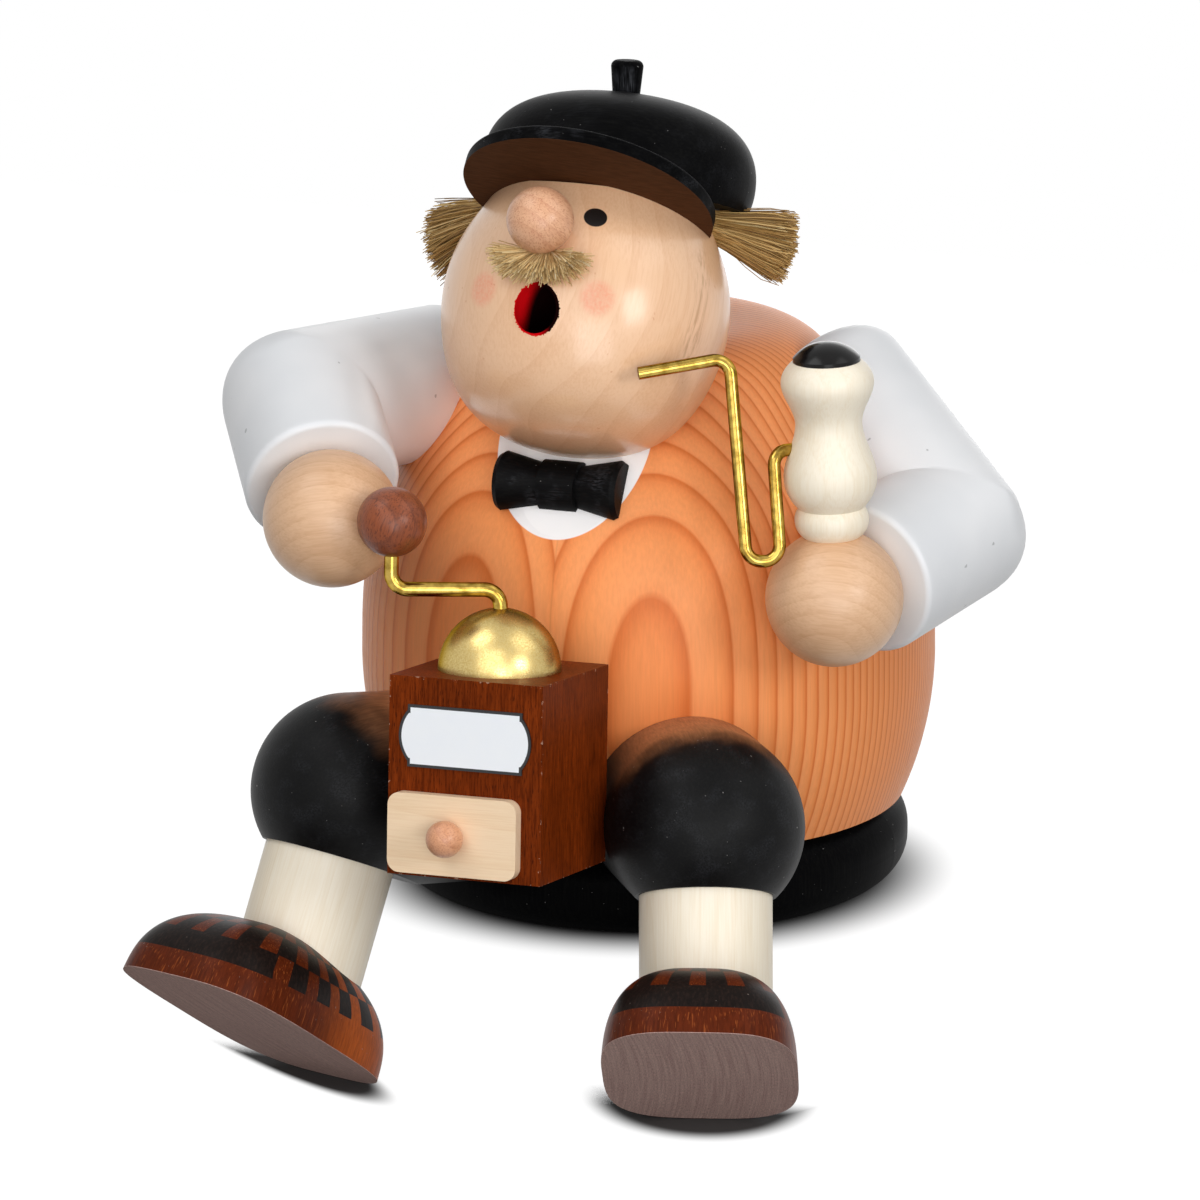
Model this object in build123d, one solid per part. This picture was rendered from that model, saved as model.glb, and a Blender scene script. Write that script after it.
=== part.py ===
from build123d import *
import math
import os

# Sizes in millimetres. Origin: centre of the seat disc's flat underside.
# +Z is up, the figure faces -Y and its left hand is on +X.

# Fits
glue_gap = 0.1
dowel_gap = 0.05
lift_gap = 0.3
hole_extra = 0.3
head_room = 1.0

# Seat disc
seat_radius = 42.7
seat_round = 6.5
seat_height = 14.4
spigot_radius = 30.0
spigot_height = 7.0
spigot_chamfer = 1.5

# Incense dish and its pins
dish_radius = 15.0
dish_sheet = 0.6
dish_rim = 2.4
pin_spread = 9.0
pin_radius = 0.8
pin_length = 8.0
pin_head_radius = 1.7
pin_head_height = 0.7

# Turned body: radius at height
body_foot_radius = 42.0
body_swell_radius = 46.0
body_swell_z = 27.5
body_belly_radius = 46.9
body_belly_z = 40.0
body_chest_radius = 41.8
body_chest_z = 67.7
body_shoulder_radius = 33.5
body_shoulder_z = 81.5
body_top_radius = 15.0
body_top_z = 93.0
chamber_radius = 25.0
chamber_top_z = 76.0
chamber_round = 8.0

# Flat on the chest: angle from level and distance from the origin
chest_tilt = 57.0
chest_offset = 71.7

# Head: position of its widest ring, tilt back and turn to its right
head_y = -30.4
head_z = 99.2
head_tilt = 30.0
head_turn = 0.5
head_chin = 21.6
head_jaw_radius = 17.6
head_jaw_drop = 15.2
head_radius = 22.8
head_radius_drop = 1.5
head_brow_radius = 20.9
head_brow_rise = 11.2
head_top_radius = 16.8
head_top_rise = 20.8
head_crown = 26.0

# Smoke way
neck_z = 85.0
neck_radius = 6.0
smoke_radius = 3.5
smoke_reach = 20.0
smoke_overlap = 4.0
neck_half = 9.0
mouth_radius = 3.45
mouth_drop = 4.8
mouth_pitch = 14.0
mouth_depth = 21.0
mouth_face = 23.6

# Nose
nose_radius = 5.3
nose_rise = 7.9
nose_face = 21.75
nose_sink = 0.2
nose_peg_radius = 1.8
nose_peg_length = 5.0

# Cap: a peak ring slipped over the head from the front, and a beret crown on the head's flat top
peak_center = Vector(1.2, -32.0, 118.95)
peak_tilt = 40.0
peak_roll = 0.6
peak_radius = 20.3
peak_sheet = 2.6
peak_round = 0.8
crown_center = Vector(0.9, -16.8, 120.2)
crown_tilt = 20.0
crown_radius = 22.0
crown_rise = 12.7
crown_foot = 4.5
crown_fullness = 0.66
stem_radius = 2.2
stem_top_radius = 2.6
stem_length = 5.6
stem_tilt = 6.0
stem_root = 4.0
stem_round = 1.0
stem_clear = 0.25

# Arms: shoulder, elbow and hand centres
sleeve_radius = 12.4
left_elbow_round = 9.0
right_elbow_round = 4.5
shoulder_round = 5.0
shoulder_back = 7.5
cuff_round = 1.0
cuff_setback = 8.5
hand_radius = 10.9
left_arm = (Vector(32.7, 2.7, 81.3), Vector(54.0, -10.0, 64.5), Vector(45.5, -40.0, 60.0))
right_arm = (Vector(-34.0, -11.0, 81.7), Vector(-44.0, -42.0, 84.0), Vector(-30.0, -64.0, 72.0))
arm_dowel_radius = 3.0
arm_dowel_half = 7.0

# Pipe
pipe_lean = Vector(-0.036, -0.013, 1.0)
pipe_seat = 10.0
pipe_foot_radius = 4.4
pipe_bead_radius = 5.85
pipe_bead_z = 2.5
pipe_neck_radius = 5.2
pipe_neck_z = 4.8
pipe_belly_radius = 7.2
pipe_belly_z = 11.2
pipe_waist_radius = 5.35
pipe_waist_z = 19.2
pipe_lip_radius = 7.3
pipe_lip_z = 24.5
pipe_mouth_radius = 5.4
pipe_height = 28.4
pipe_peg_radius = 2.5
pipe_peg_length = 6.0
lid_radius = 5.3
lid_edge = 0.6
lid_rise = 2.4
lid_peg_radius = 2.0
lid_peg_length = 4.0
pipe_wire_radius = 1.0
pipe_wire_bend = 2.5
pipe_wire_path = [
    (42.1, -38.4, 83.9),
    (37.0, -45.3, 84.2),
    (39.8, -49.5, 67.8),
    (34.9, -51.6, 67.8),
    (29.3, -44.2, 98.5),
    (16.6, -51.0, 96.4),
]

# Coffee mill
mill_side = 26.0
mill_height = 31.4
mill_center = Vector(0.6, -71.1, 36.0)
mill_turn = -2.75
mill_lean = 6.5
mill_roll = -1.75
dome_radius = 9.7
crank_wire_radius = 1.15
crank_bend = 2.6
crank_rise = 2.9
crank_drop = 10.6
crank_depth = 6.0
crank_knob_depth = 2.0
crank_knob = Vector(-16.2, -73.2, 74.9)
crank_knob_radius = 5.5
label_width = 22.4
label_height = 9.8
label_lobe = 1.5
label_lobe_height = 8.0
label_sheet = 0.3
label_up = 6.4
drawer_width = 21.8
drawer_height = 12.6
drawer_corner = 2.0
drawer_sheet = 2.0
drawer_down = 8.7
drawer_side = -1.3
drawer_knob_radius = 2.9
drawer_knob_sink = 0.25
drawer_peg_radius = 1.2
drawer_peg_length = 3.0

# Legs (its left; the right one is mirrored)
knee = Vector(30.2, -57.2, 25.5)
thigh_radius = 15.67
knee_cut = 11.0
thigh_clear = 0.5
hip_dowel_radius = 4.0
hip_dowel_half = 9.0
hip_reach = 46.0
hip_drop = 2.8
shin_way = Vector(0.16, -0.439, -1.0)
shin_radius = 10.5
shin_set = 5.0
sole_center = Vector(37.76, -80.8, -7.55)
toe_out = 17.4
toe_up = 34.0
sole_half_length = 24.16
sole_half_width = 15.27
sole_power = 3.4
shoe_height = 15.0
sole_points = 24

# Slipper outline: share of the sole's size at a share of the height
shoe_levels = [(1.0, 0.0), (0.985, 0.2), (0.945, 0.4), (0.86, 0.6), (0.72, 0.78), (0.5, 0.93), (0.26, 1.0)]

# Bow tie: half a turned spool
tie_x = -1.0
tie_z = 73.5
tie_half = 10.4
tie_end_radius = 4.4
tie_wing = 9.6
tie_wing_radius = 4.9
tie_waist = 3.3
tie_waist_radius = 3.5
tie_knot = 3.1
tie_knot_radius = 4.1

# Fibre tufts
hair_left_way = Vector(70.0, 29.0, -19.3)
hair_right_way = Vector(-70.0, 5.0, -20.0)
hair_length = 14.5
hair_side = 100.0
hair_left_rise = 18.0
hair_right_rise = 17.4
hair_seat_radius = 17.8
hair_root = 1.7
hair_tip = 5.4
hair_rings = 7
hair_sink = 0.4
hair_dome = 1.5
hair_cone = 7.0
hair_cone_inset = 1.2
strand_root = 0.17
strand_tip = 0.45
plug_radius = 2.0
plug_depth = 3.0
moustache_reach = 8.6
moustache_drop = 4.8
moustache_rise = 3.6
moustache_layers = 4
moustache_fan = 28
moustache_half_angle = 84.0
moustache_face = 22.75
moustache_plug_radius = 1.2
moustache_plug_length = 2.6
moustache_start = 0.8
moustache_lift = 0.25
moustache_tip_lift = 0.9
moustache_layer = 0.3
moustache_tip_layer = 0.75
moustache_strand_root = 0.08
moustache_strand_tip = 0.36

os.makedirs("parts", exist_ok=True)


def save(name, shape):
    export_step(shape, "parts/" + name + ".step")


def unit(v):
    return v * (1.0 / v.length)


def seat(origin, z_way, x_way=Vector(1, 0, 0)):
    return Plane(origin=origin, x_dir=x_way, z_dir=z_way).location


def rod(start, end, radius):
    length = (end - start).length
    z_way = unit(end - start)
    x_way = Vector(1, 0, 0) if abs(z_way.X) < 0.9 else Vector(0, 1, 0)
    x_way = unit(x_way - z_way * x_way.dot(z_way))
    solid = Cylinder(radius, length, align=(Align.CENTER, Align.CENTER, Align.MIN))
    return seat(start, z_way, x_way) * solid


def turned(curves):
    outline = Plane.XZ * make_face(curves)
    return revolve(outline, Axis.Z)


def ball(center, radius):
    return Pos(center.X, center.Y, center.Z) * Sphere(radius)


def half_space(point, normal, reach=200.0):
    x_way = Vector(1, 0, 0) if abs(normal.X) < 0.9 else Vector(0, 1, 0)
    x_way = unit(x_way - normal * x_way.dot(normal))
    block = Box(reach, reach, reach, align=(Align.CENTER, Align.CENTER, Align.MIN))
    return seat(point, normal, x_way) * block


def pair(left):
    return left + mirror(left, Plane.YZ)


def tilted(angle):
    return Vector(0, math.sin(math.radians(angle)), math.cos(math.radians(angle)))


# Seat disc with its spigot
seat_outline = [
    Line((0, 0), (seat_radius - seat_round, 0)),
    RadiusArc((seat_radius - seat_round, 0), (seat_radius, seat_round), -seat_round),
    Line((seat_radius, seat_round), (seat_radius, seat_height - seat_round)),
    RadiusArc((seat_radius, seat_height - seat_round), (seat_radius - seat_round, seat_height), -seat_round),
    Line((seat_radius - seat_round, seat_height), (spigot_radius, seat_height)),
    Line((spigot_radius, seat_height), (spigot_radius, seat_height + spigot_height - spigot_chamfer)),
    Line((spigot_radius, seat_height + spigot_height - spigot_chamfer),
         (spigot_radius - spigot_chamfer, seat_height + spigot_height)),
    Line((spigot_radius - spigot_chamfer, seat_height + spigot_height), (0, seat_height + spigot_height)),
    Line((0, seat_height + spigot_height), (0, 0)),
]
seat_disc = turned(seat_outline)
seat_top = seat_height + spigot_height

# Incense dish with a raised rim, and two pins through its floor
dish = Cylinder(dish_radius, dish_rim, align=(Align.CENTER, Align.CENTER, Align.MIN))
dish -= Pos(0, 0, dish_sheet) * Cylinder(dish_radius - dish_sheet, dish_rim,
                                         align=(Align.CENTER, Align.CENTER, Align.MIN))
dish = Pos(0, 0, seat_top) * dish
pins = []
for side in (-1, 1):
    shank = Pos(side * pin_spread, 0, seat_top + dish_sheet - pin_length) * Cylinder(
        pin_radius, pin_length, align=(Align.CENTER, Align.CENTER, Align.MIN))
    cap = Pos(side * pin_spread, 0, seat_top + dish_sheet) * Cylinder(
        pin_head_radius, pin_head_height, align=(Align.CENTER, Align.CENTER, Align.MIN))
    pins.append(shank + cap)
    hole = Pos(side * pin_spread, 0, seat_top - pin_length) * Cylinder(
        pin_radius + dowel_gap, 2 * pin_length, align=(Align.CENTER, Align.CENTER, Align.MIN))
    dish -= hole
    seat_disc -= hole


# Turned body; the same outline, let out by the glue gap, copes the limbs
def body_form(grow):
    top = body_top_z + grow
    belly = body_belly_radius + grow
    return turned([
        Line((0, seat_height), (body_foot_radius + grow, seat_height)),
        ThreePointArc((body_foot_radius + grow, seat_height), (body_swell_radius + grow, body_swell_z),
                      (belly, body_belly_z)),
        Spline((belly, body_belly_z), (body_chest_radius + grow, body_chest_z),
               (body_shoulder_radius + grow, body_shoulder_z), (body_top_radius, top),
               tangents=[(0, 1), (-1, 0)]),
        Line((body_top_radius, top), (0, top)),
        Line((0, top), (0, seat_height)),
    ])


chest_way = Vector(0, -math.sin(math.radians(chest_tilt)), math.cos(math.radians(chest_tilt)))
chest_cut = half_space(chest_way * chest_offset, chest_way)
cope = body_form(glue_gap)


def on_chest(x, z):
    return Vector(x, (chest_offset - z * chest_way.Z) / chest_way.Y, z)


recess_top = seat_top + head_room
chamber = turned([
    Line((0, seat_top), (chamber_radius, seat_top)),
    Line((chamber_radius, seat_top), (chamber_radius, chamber_top_z - chamber_round)),
    RadiusArc((chamber_radius, chamber_top_z - chamber_round),
              (chamber_radius - chamber_round, chamber_top_z), -chamber_round),
    Line((chamber_radius - chamber_round, chamber_top_z), (0, chamber_top_z)),
    Line((0, chamber_top_z), (0, seat_top)),
])
recess = rod(Vector(0, 0, seat_height - head_room), Vector(0, 0, recess_top), spigot_radius + lift_gap)

neck = on_chest(0, neck_z)
body = body_form(0.0) - chest_cut - chamber - recess
body -= rod(neck - chest_way * neck_half, neck + chest_way * neck_half, neck_radius + dowel_gap)
body -= rod(neck - chest_way * smoke_reach, neck, smoke_radius)
neck_tube = rod(neck - chest_way * neck_half, neck + chest_way * neck_half, neck_radius)
neck_tube -= rod(neck - chest_way * smoke_reach, neck + chest_way * smoke_reach, smoke_radius)

# Head, in its own frame: local +Z up its axis, local -Y out of its face
head_center = Vector(0, head_y, head_z)
head_axis = tilted(head_tilt)
head_seat = seat(head_center, head_axis, Vector(1, 0, 0)) * Rot(0, 0, -head_turn)
head = head_seat * turned([
    Spline((0, -head_chin), (head_jaw_radius, -head_jaw_drop), (head_radius, -head_radius_drop),
           (head_brow_radius, head_brow_rise), (head_top_radius, head_top_rise), (0, head_crown),
           tangents=[(1, 0), (-1, 0)]),
    Line((0, head_crown), (0, -head_chin)),
])
head -= half_space(neck, chest_way * -1.0)
peak_way = unit(tilted(peak_tilt) + Vector(math.tan(math.radians(peak_roll)), 0, 0))
crown_way = tilted(crown_tilt)
crown_foot_center = crown_center - crown_way * crown_foot
head -= half_space(crown_foot_center, crown_way)
peak_top = peak_center + peak_way * peak_sheet
peak = rod(peak_center, peak_top, peak_radius)
peak = fillet(peak.edges().sort_by(Axis(peak_center, peak_way))[-1], peak_round) - head


def on_head(right, forward, up):
    spot = head_seat * Pos(right, -forward, up)
    return spot.position


mouth = on_head(0, mouth_face, -mouth_drop)
mouth_in = on_head(0, mouth_face - mouth_depth * math.cos(math.radians(mouth_pitch)),
                   -mouth_drop - mouth_depth * math.sin(math.radians(mouth_pitch)))
mouth_out = mouth + unit(mouth - mouth_in) * mouth_radius
head -= rod(mouth_in, mouth_out, mouth_radius)
head -= rod(neck - chest_way, neck + chest_way * neck_half, neck_radius + dowel_gap)
head -= rod(neck, neck + chest_way * (neck_half + smoke_overlap), smoke_radius)

# Ball nose on its peg
nose_center = on_head(0, nose_face + nose_radius - nose_sink, nose_rise)
nose_root = on_head(0, nose_face - nose_peg_length, nose_rise)
nose = ball(nose_center, nose_radius) + rod(nose_root, nose_center, nose_peg_radius)
nose_hole_end = on_head(0, nose_face - nose_peg_length - hole_extra, nose_rise)
head -= rod(nose_hole_end, nose_center, nose_peg_radius + dowel_gap)
head -= ball(nose_center, nose_radius + dowel_gap)

# Beret crown and its stem
crown_pull = crown_fullness * crown_rise
crown_side = crown_fullness * crown_radius
crown = seat(crown_center, crown_way) * turned([
    Bezier((0, crown_rise), (crown_side, crown_rise), (crown_radius, crown_pull), (crown_radius, 0)),
    Bezier((crown_radius, 0), (crown_radius, -crown_pull), (crown_side, -crown_rise), (0, -crown_rise)),
    Line((0, -crown_rise), (0, crown_rise)),
])
crown -= half_space(peak_top, peak_way * -1.0)
crown -= half_space(crown_foot_center, crown_way * -1.0)
stem_way = tilted(stem_tilt)
stem_foot = crown_center + crown_way * (crown_rise - stem_root)
stem_size = stem_root + stem_length
stem = seat(stem_foot, stem_way) * turned([
    Line((0, 0), (stem_radius, 0)),
    Line((stem_radius, 0), (stem_radius, stem_root)),
    Line((stem_radius, stem_root), (stem_top_radius, stem_size - stem_round)),
    RadiusArc((stem_top_radius, stem_size - stem_round), (stem_top_radius - stem_round, stem_size),
              -stem_round),
    Line((stem_top_radius - stem_round, stem_size), (0, stem_size)),
    Line((0, stem_size), (0, 0)),
])
crown -= rod(stem_foot, stem_foot + stem_way * stem_size, stem_radius + stem_clear)


# Arms: two mitred lengths of sleeve with a rounded elbow, and a ball hand let into the cuff
def arm(joints, elbow_round):
    shoulder, elbow, hand = joints
    upper_way = unit(elbow - shoulder)
    fore_way = unit(hand - elbow)
    mitre = unit(upper_way + fore_way)
    outward = unit(upper_way - fore_way)
    half_turn = upper_way.get_angle(fore_way) / 2.0
    reach = 2.0 * sleeve_radius
    cuff = hand - fore_way * cuff_setback
    upper = rod(shoulder - upper_way * shoulder_back, elbow + upper_way * reach, sleeve_radius)
    upper = fillet(upper.edges().sort_by(Axis(elbow, upper_way))[0], shoulder_round)
    upper -= half_space(elbow, mitre)
    fore = rod(elbow - fore_way * reach, cuff, sleeve_radius)
    fore = fillet(fore.edges().sort_by(Axis(elbow, fore_way))[-1], cuff_round)
    fore -= half_space(elbow, mitre * -1.0)
    # A prism outside the fillet arc takes the sharp outer corner off both lengths
    slope = math.radians(half_turn)
    tangent = elbow_round * math.tan(slope)
    corner = sleeve_radius / math.cos(slope)
    rise = tangent * math.cos(slope)
    drop = corner - tangent * math.sin(slope)
    arc_top = (sleeve_radius - elbow_round) / math.cos(slope) + elbow_round
    tool = make_face([
        ThreePointArc((drop, -rise), (arc_top, 0), (drop, rise)),
        Line((drop, rise), (drop + sleeve_radius, rise)),
        Line((drop + sleeve_radius, rise), (drop + sleeve_radius, -rise)),
        Line((drop + sleeve_radius, -rise), (drop, -rise)),
    ])
    across = unit(outward.cross(mitre))
    tool = Plane(origin=elbow, x_dir=outward, z_dir=across) * extrude(tool, reach, both=True)
    upper = upper - tool - cope
    fore = fore - tool - cope
    palm = ball(hand, hand_radius)
    fore -= ball(hand, hand_radius + glue_gap)
    elbow_dowel = rod(elbow - mitre * arm_dowel_half, elbow + mitre * arm_dowel_half, arm_dowel_radius)
    hole_half = arm_dowel_half + hole_extra
    hole_radius = arm_dowel_radius + dowel_gap
    elbow_hole = rod(elbow - mitre * hole_half, elbow + mitre * hole_half, hole_radius)
    wrist = hand - fore_way * hand_radius
    wrist_dowel = rod(wrist - fore_way * arm_dowel_half, wrist + fore_way * arm_dowel_half, arm_dowel_radius)
    wrist_hole = rod(wrist - fore_way * hole_half, wrist + fore_way * hole_half, hole_radius)
    return {"upper": upper - elbow_hole, "fore": fore - elbow_hole - wrist_hole, "palm": palm - wrist_hole,
            "elbow": elbow_dowel, "wrist": wrist_dowel}


def shoulder_dowel(joints, grow, extra):
    shoulder, elbow, hand = joints
    level = unit(Vector(shoulder.X, shoulder.Y, 0))
    return rod(shoulder - level * (arm_dowel_half + extra), shoulder + level * (arm_dowel_half + extra),
               arm_dowel_radius + grow)


arms = {"left": arm(left_arm, left_elbow_round), "right": arm(right_arm, right_elbow_round)}
shoulder_dowels = shoulder_dowel(left_arm, 0, 0) + shoulder_dowel(right_arm, 0, 0)
for side, joints in (("left", left_arm), ("right", right_arm)):
    hole = shoulder_dowel(joints, dowel_gap, hole_extra)
    body -= hole
    arms[side]["upper"] -= hole

# Pipe: bowl with its peg in the left hand, lid, and bent wire stem
pipe_way = unit(pipe_lean)
pipe_foot = left_arm[2] + pipe_way * pipe_seat
pipe_loc = seat(pipe_foot, pipe_way, unit(Vector(1, 0, 0) - pipe_way * pipe_way.X))
bowl = pipe_loc * turned([
    Line((0, 0), (pipe_foot_radius, 0)),
    ThreePointArc((pipe_foot_radius, 0), (pipe_bead_radius, pipe_bead_z), (pipe_neck_radius, pipe_neck_z)),
    Spline((pipe_neck_radius, pipe_neck_z), (pipe_belly_radius, pipe_belly_z),
           (pipe_waist_radius, pipe_waist_z), (pipe_lip_radius, pipe_lip_z),
           (pipe_mouth_radius, pipe_height)),
    Line((pipe_mouth_radius, pipe_height), (0, pipe_height)),
    Line((0, pipe_height), (0, 0)),
])
bowl += rod(pipe_foot - pipe_way * pipe_peg_length, pipe_foot + pipe_way, pipe_peg_radius)
arms["left"]["palm"] -= half_space(pipe_foot, pipe_way)
arms["left"]["palm"] -= rod(pipe_foot - pipe_way * (pipe_peg_length + hole_extra), pipe_foot + pipe_way,
                            pipe_peg_radius + dowel_gap)
lid_base = pipe_foot + pipe_way * pipe_height
lid = pipe_loc * Pos(0, 0, pipe_height) * turned([
    Line((0, 0), (lid_radius, 0)),
    Line((lid_radius, 0), (lid_radius, lid_edge)),
    RadiusArc((lid_radius, lid_edge), (0, lid_edge + lid_rise),
              -(lid_radius ** 2 + lid_rise ** 2) / (2 * lid_rise)),
    Line((0, lid_edge + lid_rise), (0, 0)),
])
lid += rod(lid_base - pipe_way * lid_peg_length, lid_base + pipe_way * lid_edge, lid_peg_radius)
bowl -= rod(lid_base - pipe_way * (lid_peg_length + hole_extra), lid_base + pipe_way,
            lid_peg_radius + dowel_gap)


def bent_wire(points, bend, radius):
    corners = [Vector(*point) for point in points]
    path = FilletPolyline(*corners, radius=bend)
    section = Plane(origin=corners[0], z_dir=unit(corners[1] - corners[0])) * Circle(radius)
    return sweep(section, path=path)


pipe_wire = bent_wire(pipe_wire_path, pipe_wire_bend, pipe_wire_radius)
bowl -= bent_wire(pipe_wire_path, pipe_wire_bend, pipe_wire_radius + dowel_gap)

# Coffee mill
mill_loc = Pos(mill_center.X, mill_center.Y, mill_center.Z) * Rot(0, 0, mill_turn)
mill_loc = mill_loc * Rot(0, mill_roll, 0) * Rot(-mill_lean, 0, 0)
mill_box = mill_loc * Box(mill_side, mill_side, mill_height)
mill_clear = mill_loc * Box(mill_side + 2 * glue_gap, mill_side + 2 * glue_gap, mill_height + 2 * glue_gap)


def on_mill(right, back, up):
    return (mill_loc * Pos(right, back, up)).position


mill_up = unit(on_mill(0, 0, 1) - on_mill(0, 0, 0))
mill_front = unit(on_mill(0, -1, 0) - on_mill(0, 0, 0))
dome_foot = on_mill(0, 0, mill_height / 2)
dome = ball(dome_foot, dome_radius) - half_space(dome_foot, mill_up * -1.0)
crank_top = dome_foot + mill_up * (dome_radius + crank_rise)
crank_low = crank_knob - mill_up * crank_drop
crank_root = dome_foot + mill_up * (dome_radius - crank_depth)
crank_end = crank_knob + mill_up * crank_knob_depth
crank_path = [tuple(corner) for corner in (crank_root, crank_top, crank_low, crank_end)]
crank = bent_wire(crank_path, crank_bend, crank_wire_radius)
dome -= rod(crank_root - mill_up * hole_extra, crank_top, crank_wire_radius + dowel_gap)
knob = ball(crank_knob, crank_knob_radius)
knob -= rod(crank_low, crank_end + mill_up * hole_extra, crank_wire_radius + dowel_gap)

label_body = label_width - 2 * label_lobe
label_face = Rectangle(label_body, label_height)
for side in (-1, 1):
    low = (side * label_body / 2, -label_lobe_height / 2)
    high = (side * label_body / 2, label_lobe_height / 2)
    bulge = (side * label_width / 2, 0)
    label_face += make_face([ThreePointArc(low, bulge, high), Line(high, low)])
label = mill_loc * Pos(0, -mill_side / 2, label_up) * Rot(90, 0, 0) * extrude(label_face, label_sheet)
drawer = mill_loc * Pos(drawer_side, -mill_side / 2, -drawer_down) * Rot(90, 0, 0) * extrude(
    RectangleRounded(drawer_width, drawer_height, drawer_corner), drawer_sheet)
drawer_face = on_mill(drawer_side, -mill_side / 2 - drawer_sheet, -drawer_down)
drawer_ball = drawer_face + mill_front * (drawer_knob_radius - drawer_knob_sink)
drawer_root = drawer_face - mill_front * drawer_peg_length
drawer_knob = ball(drawer_ball, drawer_knob_radius) - half_space(drawer_face, mill_front * -1.0)
drawer_knob += rod(drawer_root, drawer_ball, drawer_peg_radius)
drawer_hole = rod(drawer_root - mill_front * hole_extra, drawer_ball, drawer_peg_radius + dowel_gap)
drawer -= drawer_hole
mill_box -= drawer_hole

# Legs
shin = unit(shin_way)
level_way = unit(Vector(knee.X, knee.Y, 0))
hip = level_way * hip_reach + Vector(0, 0, knee.Z - hip_drop)
thigh_way = unit(knee - hip)
thigh = rod(hip - thigh_way * thigh_radius, knee, thigh_radius) + ball(knee, thigh_radius)
thigh -= half_space(knee + shin * knee_cut, shin)
thigh -= cope
thigh -= rod(Vector(0, 0, -thigh_clear), Vector(0, 0, seat_height), seat_radius + thigh_clear)
hip_rod = rod(hip - thigh_way * hip_dowel_half, hip + thigh_way * hip_dowel_half, hip_dowel_radius)
hip_hole_half = hip_dowel_half + hole_extra
hip_hole = rod(hip - thigh_way * hip_hole_half, hip + thigh_way * hip_hole_half, hip_dowel_radius + dowel_gap)
thigh -= hip_hole
body -= pair(hip_hole)

toe = math.radians(toe_up)
out = math.radians(toe_out)
toe_way = Vector(math.sin(out) * math.cos(toe), -math.cos(out) * math.cos(toe), math.sin(toe))
side_way = Vector(math.cos(out), math.sin(out), 0)
sole_up = toe_way.cross(side_way)
sole_loc = Plane(origin=sole_center, x_dir=toe_way, z_dir=sole_up).location
shin_end = knee + shin * ((sole_center - knee).dot(sole_up) / shin.dot(sole_up) - shin_set)
shin_start = knee + shin * (knee_cut - shin_set)
lower_leg = rod(shin_start, shin_end, shin_radius)
thigh -= rod(shin_start, shin_end, shin_radius + dowel_gap)


def sole_ring(scale, height):
    points = []
    for step in range(sole_points):
        angle = 2 * math.pi * step / sole_points
        c = math.cos(angle)
        s = math.sin(angle)
        reach = (abs(c) ** sole_power + abs(s) ** sole_power) ** (-1 / sole_power)
        points.append((sole_half_length * scale * reach * c, sole_half_width * scale * reach * s, height))
    return Wire([Spline(*points, periodic=True)])


shoe = sole_loc * Solid.make_loft([sole_ring(scale, level * shoe_height) for scale, level in shoe_levels])
shoe -= rod(shin_start, shin_end, shin_radius + dowel_gap)

thighs = {"left": thigh - mill_clear, "right": mirror(thigh, Plane.YZ) - mill_clear}
lower_legs = {"left": lower_leg, "right": mirror(lower_leg, Plane.YZ)}
shoes = {"left": shoe, "right": mirror(shoe, Plane.YZ)}

# Bow tie: half of a turned spool, flat on the chest
tie_side = [(tie_knot, tie_knot_radius), (tie_waist, tie_waist_radius), (tie_wing, tie_wing_radius),
            (tie_half, tie_end_radius), (tie_half, 0)]
tie_other_side = [(-along, radius) for along, radius in reversed(tie_side)]
tie = revolve(make_face(Polyline(*tie_other_side, *tie_side, close=True)), Axis.X)
tie -= half_space(Vector(0, 0, 0), Vector(0, 0, -1))
tie = seat(on_chest(tie_x, tie_z), chest_way) * tie


# Fibre tufts: straight strands fanned from a plug, none crossing
def strand(root, tip, first, second, root_side, tip_side):
    rings = []
    for center, side in ((root, root_side), (tip, tip_side)):
        corners = []
        for a, b in ((-1, -1), (1, -1), (1, 1), (-1, 1)):
            corners.append(center + first * (a * side / 2) + second * (b * side / 2))
        rings.append(Wire.make_polygon(corners, close=True))
    return Solid.make_loft(rings, ruled=True)


def hair_tuft():
    strands = []
    for ring in range(hair_rings):
        count = max(1, 6 * ring)
        spot = ring / (hair_rings - 1)
        for step in range(count):
            angle = 2 * math.pi * step / count
            offset = Vector(math.cos(angle), math.sin(angle), 0)
            start = offset * (spot * hair_root) - Vector(0, 0, hair_sink)
            end = offset * (spot * hair_tip) + Vector(0, 0, hair_length - hair_dome * spot)
            strands.append(strand(start, end, Vector(1, 0, 0), Vector(0, 1, 0), strand_root, strand_tip))
    plug = Pos(0, 0, -plug_depth) * Cylinder(plug_radius, plug_depth,
                                             align=(Align.CENTER, Align.CENTER, Align.MIN))
    return plug.fuse(*strands)


def hair_seat(way, side, rise):
    angle = math.radians(hair_side)
    root = on_head(side * hair_seat_radius * math.sin(angle), hair_seat_radius * math.cos(angle), rise)
    return seat(root, unit(way), unit(way.cross(Vector(0, 0, 1))))


tuft = hair_tuft()
tuft_hole = rod(Vector(0, 0, -plug_depth - hole_extra), Vector(0, 0, 0), plug_radius + dowel_gap)
tuft_hole += Cone(plug_radius + dowel_gap, hair_tip - hair_cone_inset, hair_cone,
                  align=(Align.CENTER, Align.CENTER, Align.MIN))
left_seat = hair_seat(hair_left_way, 1, hair_left_rise)
right_seat = hair_seat(hair_right_way, -1, hair_right_rise)
hair_left = left_seat * tuft
hair_right = right_seat * tuft
head = head - left_seat * tuft_hole - right_seat * tuft_hole

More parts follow.
